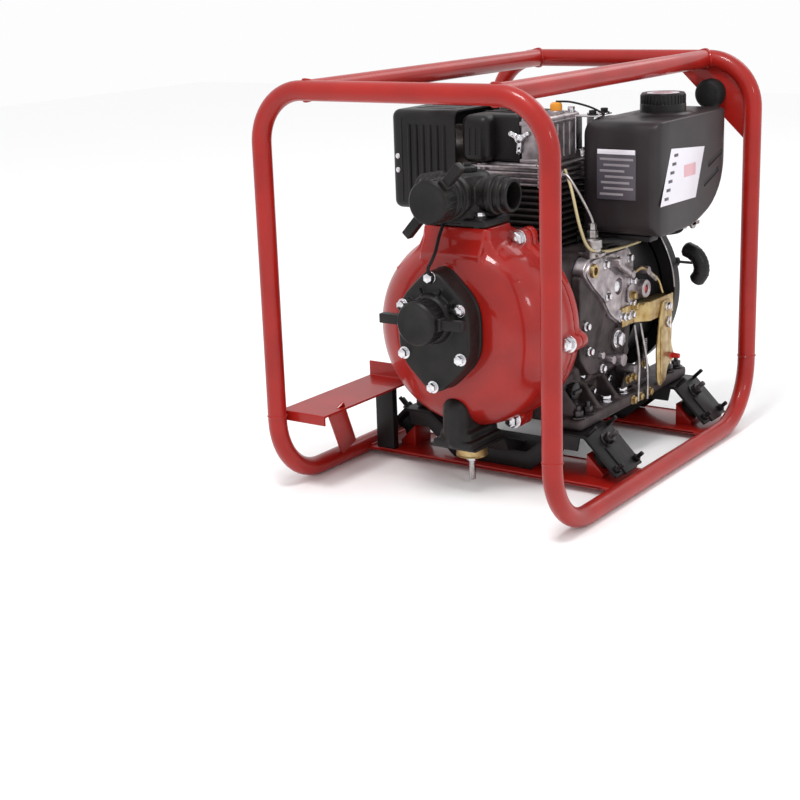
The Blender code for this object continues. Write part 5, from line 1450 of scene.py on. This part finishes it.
def make_tank_straps():
    """The strap from the tank to the rocker cover's plug, and the brackets that hold the tank."""
    strap = curve_through([(0.035, 0.045, 0.542), (0.056, 0.052, 0.541), (0.08, 0.066, 0.533),
                           (0.098, 0.078, TANK_TOP + 0.006)], 8)
    piece("tank_strap", [pipe(strap, 0.0028, 16, squash=0.55)], RUBBER)
    shelf = TANK_TOP + 0.0025
    tabs = []
    for y, end in ((0.06, 0.098), (0.098, 0.09)):
        tabs.append(block((0.0575, y, 0.47), (0.06, y + 0.02, shelf + 0.002), 0.001))
        tabs.append(block((0.0575, y, shelf), (end, y + 0.02, shelf + 0.0025), 0.001))
    piece("tank_brackets", tabs, ZINC)
    places = [(0.082, y, shelf + 0.0024) for y in (0.071, 0.108)]
    piece("tank_bracket_bolts", bolts(places, UP, 0.0095, 0.0055, 0.008), BLACK)
    lower = [block((0.064, 0.052, 0.3405), (0.186, 0.08, 0.349), 0.0015),
             block((0.064, 0.128, 0.3405), (0.18, 0.156, 0.35), 0.0015),
             block((0.064, 0.052, 0.33), (0.067, 0.156, 0.3505), 0.001)]
    piece("tank_cradle", lower, BLACK)


# ---- inner pieces, with their own finishes ----
def finish_inner_pieces():
    looks = {"crankshaft": STEEL, "front_bearing": STEEL, "rear_bearing": STEEL, "piston": SILVER,
             "flywheel": IRON, "impeller": BRONZE, "shaft_seal": RUBBER, "recoil_pulley": ABS}
    for node, look in looks.items():
        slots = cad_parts[node].material_slots
        for entry in slots:
            entry.material = look


# ---- studio ----
def make_studio():
    floor = bpy.data.meshes.new("floor")
    shape = bmesh.new()
    bmesh.ops.create_grid(shape, x_segments=1, y_segments=1, size=6.0)
    shape.to_mesh(floor)
    shape.free()
    ground = bpy.data.objects.new("floor", floor)
    ground.location = (0, 0, -0.0004)
    bpy.context.scene.collection.objects.link(ground)
    floor.materials.append(finish("matt_white_floor", None, "#fbfbfb", 0.95, Specular_IOR_Level=0.1))
    world = bpy.data.worlds.new("studio")
    bpy.context.scene.world = world
    world.use_nodes = True
    sky = world.node_tree.nodes["Background"]
    sky.inputs["Color"].default_value = linear("#fdfdfe")
    sky.inputs["Strength"].default_value = 1.0
    bpy.context.scene.view_settings.view_transform = "Standard"
    add_light("key", (0.2, -1.1, 2.7), 0.6, 34)
    add_light("fill", (2.6, -1.0, 1.6), 0.4, 7)
    add_light("back", (0.4, 2.6, 2.4), 1.2, 10)


def add_light(name, place, size, power):
    data = bpy.data.lights.new(name, "AREA")
    data.shape = "SQUARE"
    data.size = size
    data.energy = power
    lamp = bpy.data.objects.new(name, data)
    place = Vector(place)
    aim = Vector((0, 0, 0.28)) - place
    lamp.matrix_world = Matrix.Translation(place) @ aim.to_track_quat("-Z", "Y").to_matrix().to_4x4()
    bpy.context.scene.collection.objects.link(lamp)


for make in (make_frame, make_cross_plates, make_battery_tray, make_gusset_and_switch, make_mount_beams,
             make_rubber_mounts, make_pump_support, make_volute, make_suction, make_caps, make_manifold,
             make_pump_foot, make_tether, make_crankcase, make_gear_cover, make_cylinder, make_rocker_cover,
             make_decompression_lever, make_injection, make_oil_plug, make_speed_control, make_governor_details,
             make_shroud, make_recoil, make_muffler, make_air_cleaner, make_tank, make_fuel_cap,
             make_tank_labels, make_tank_straps, finish_inner_pieces, make_studio):
    make()
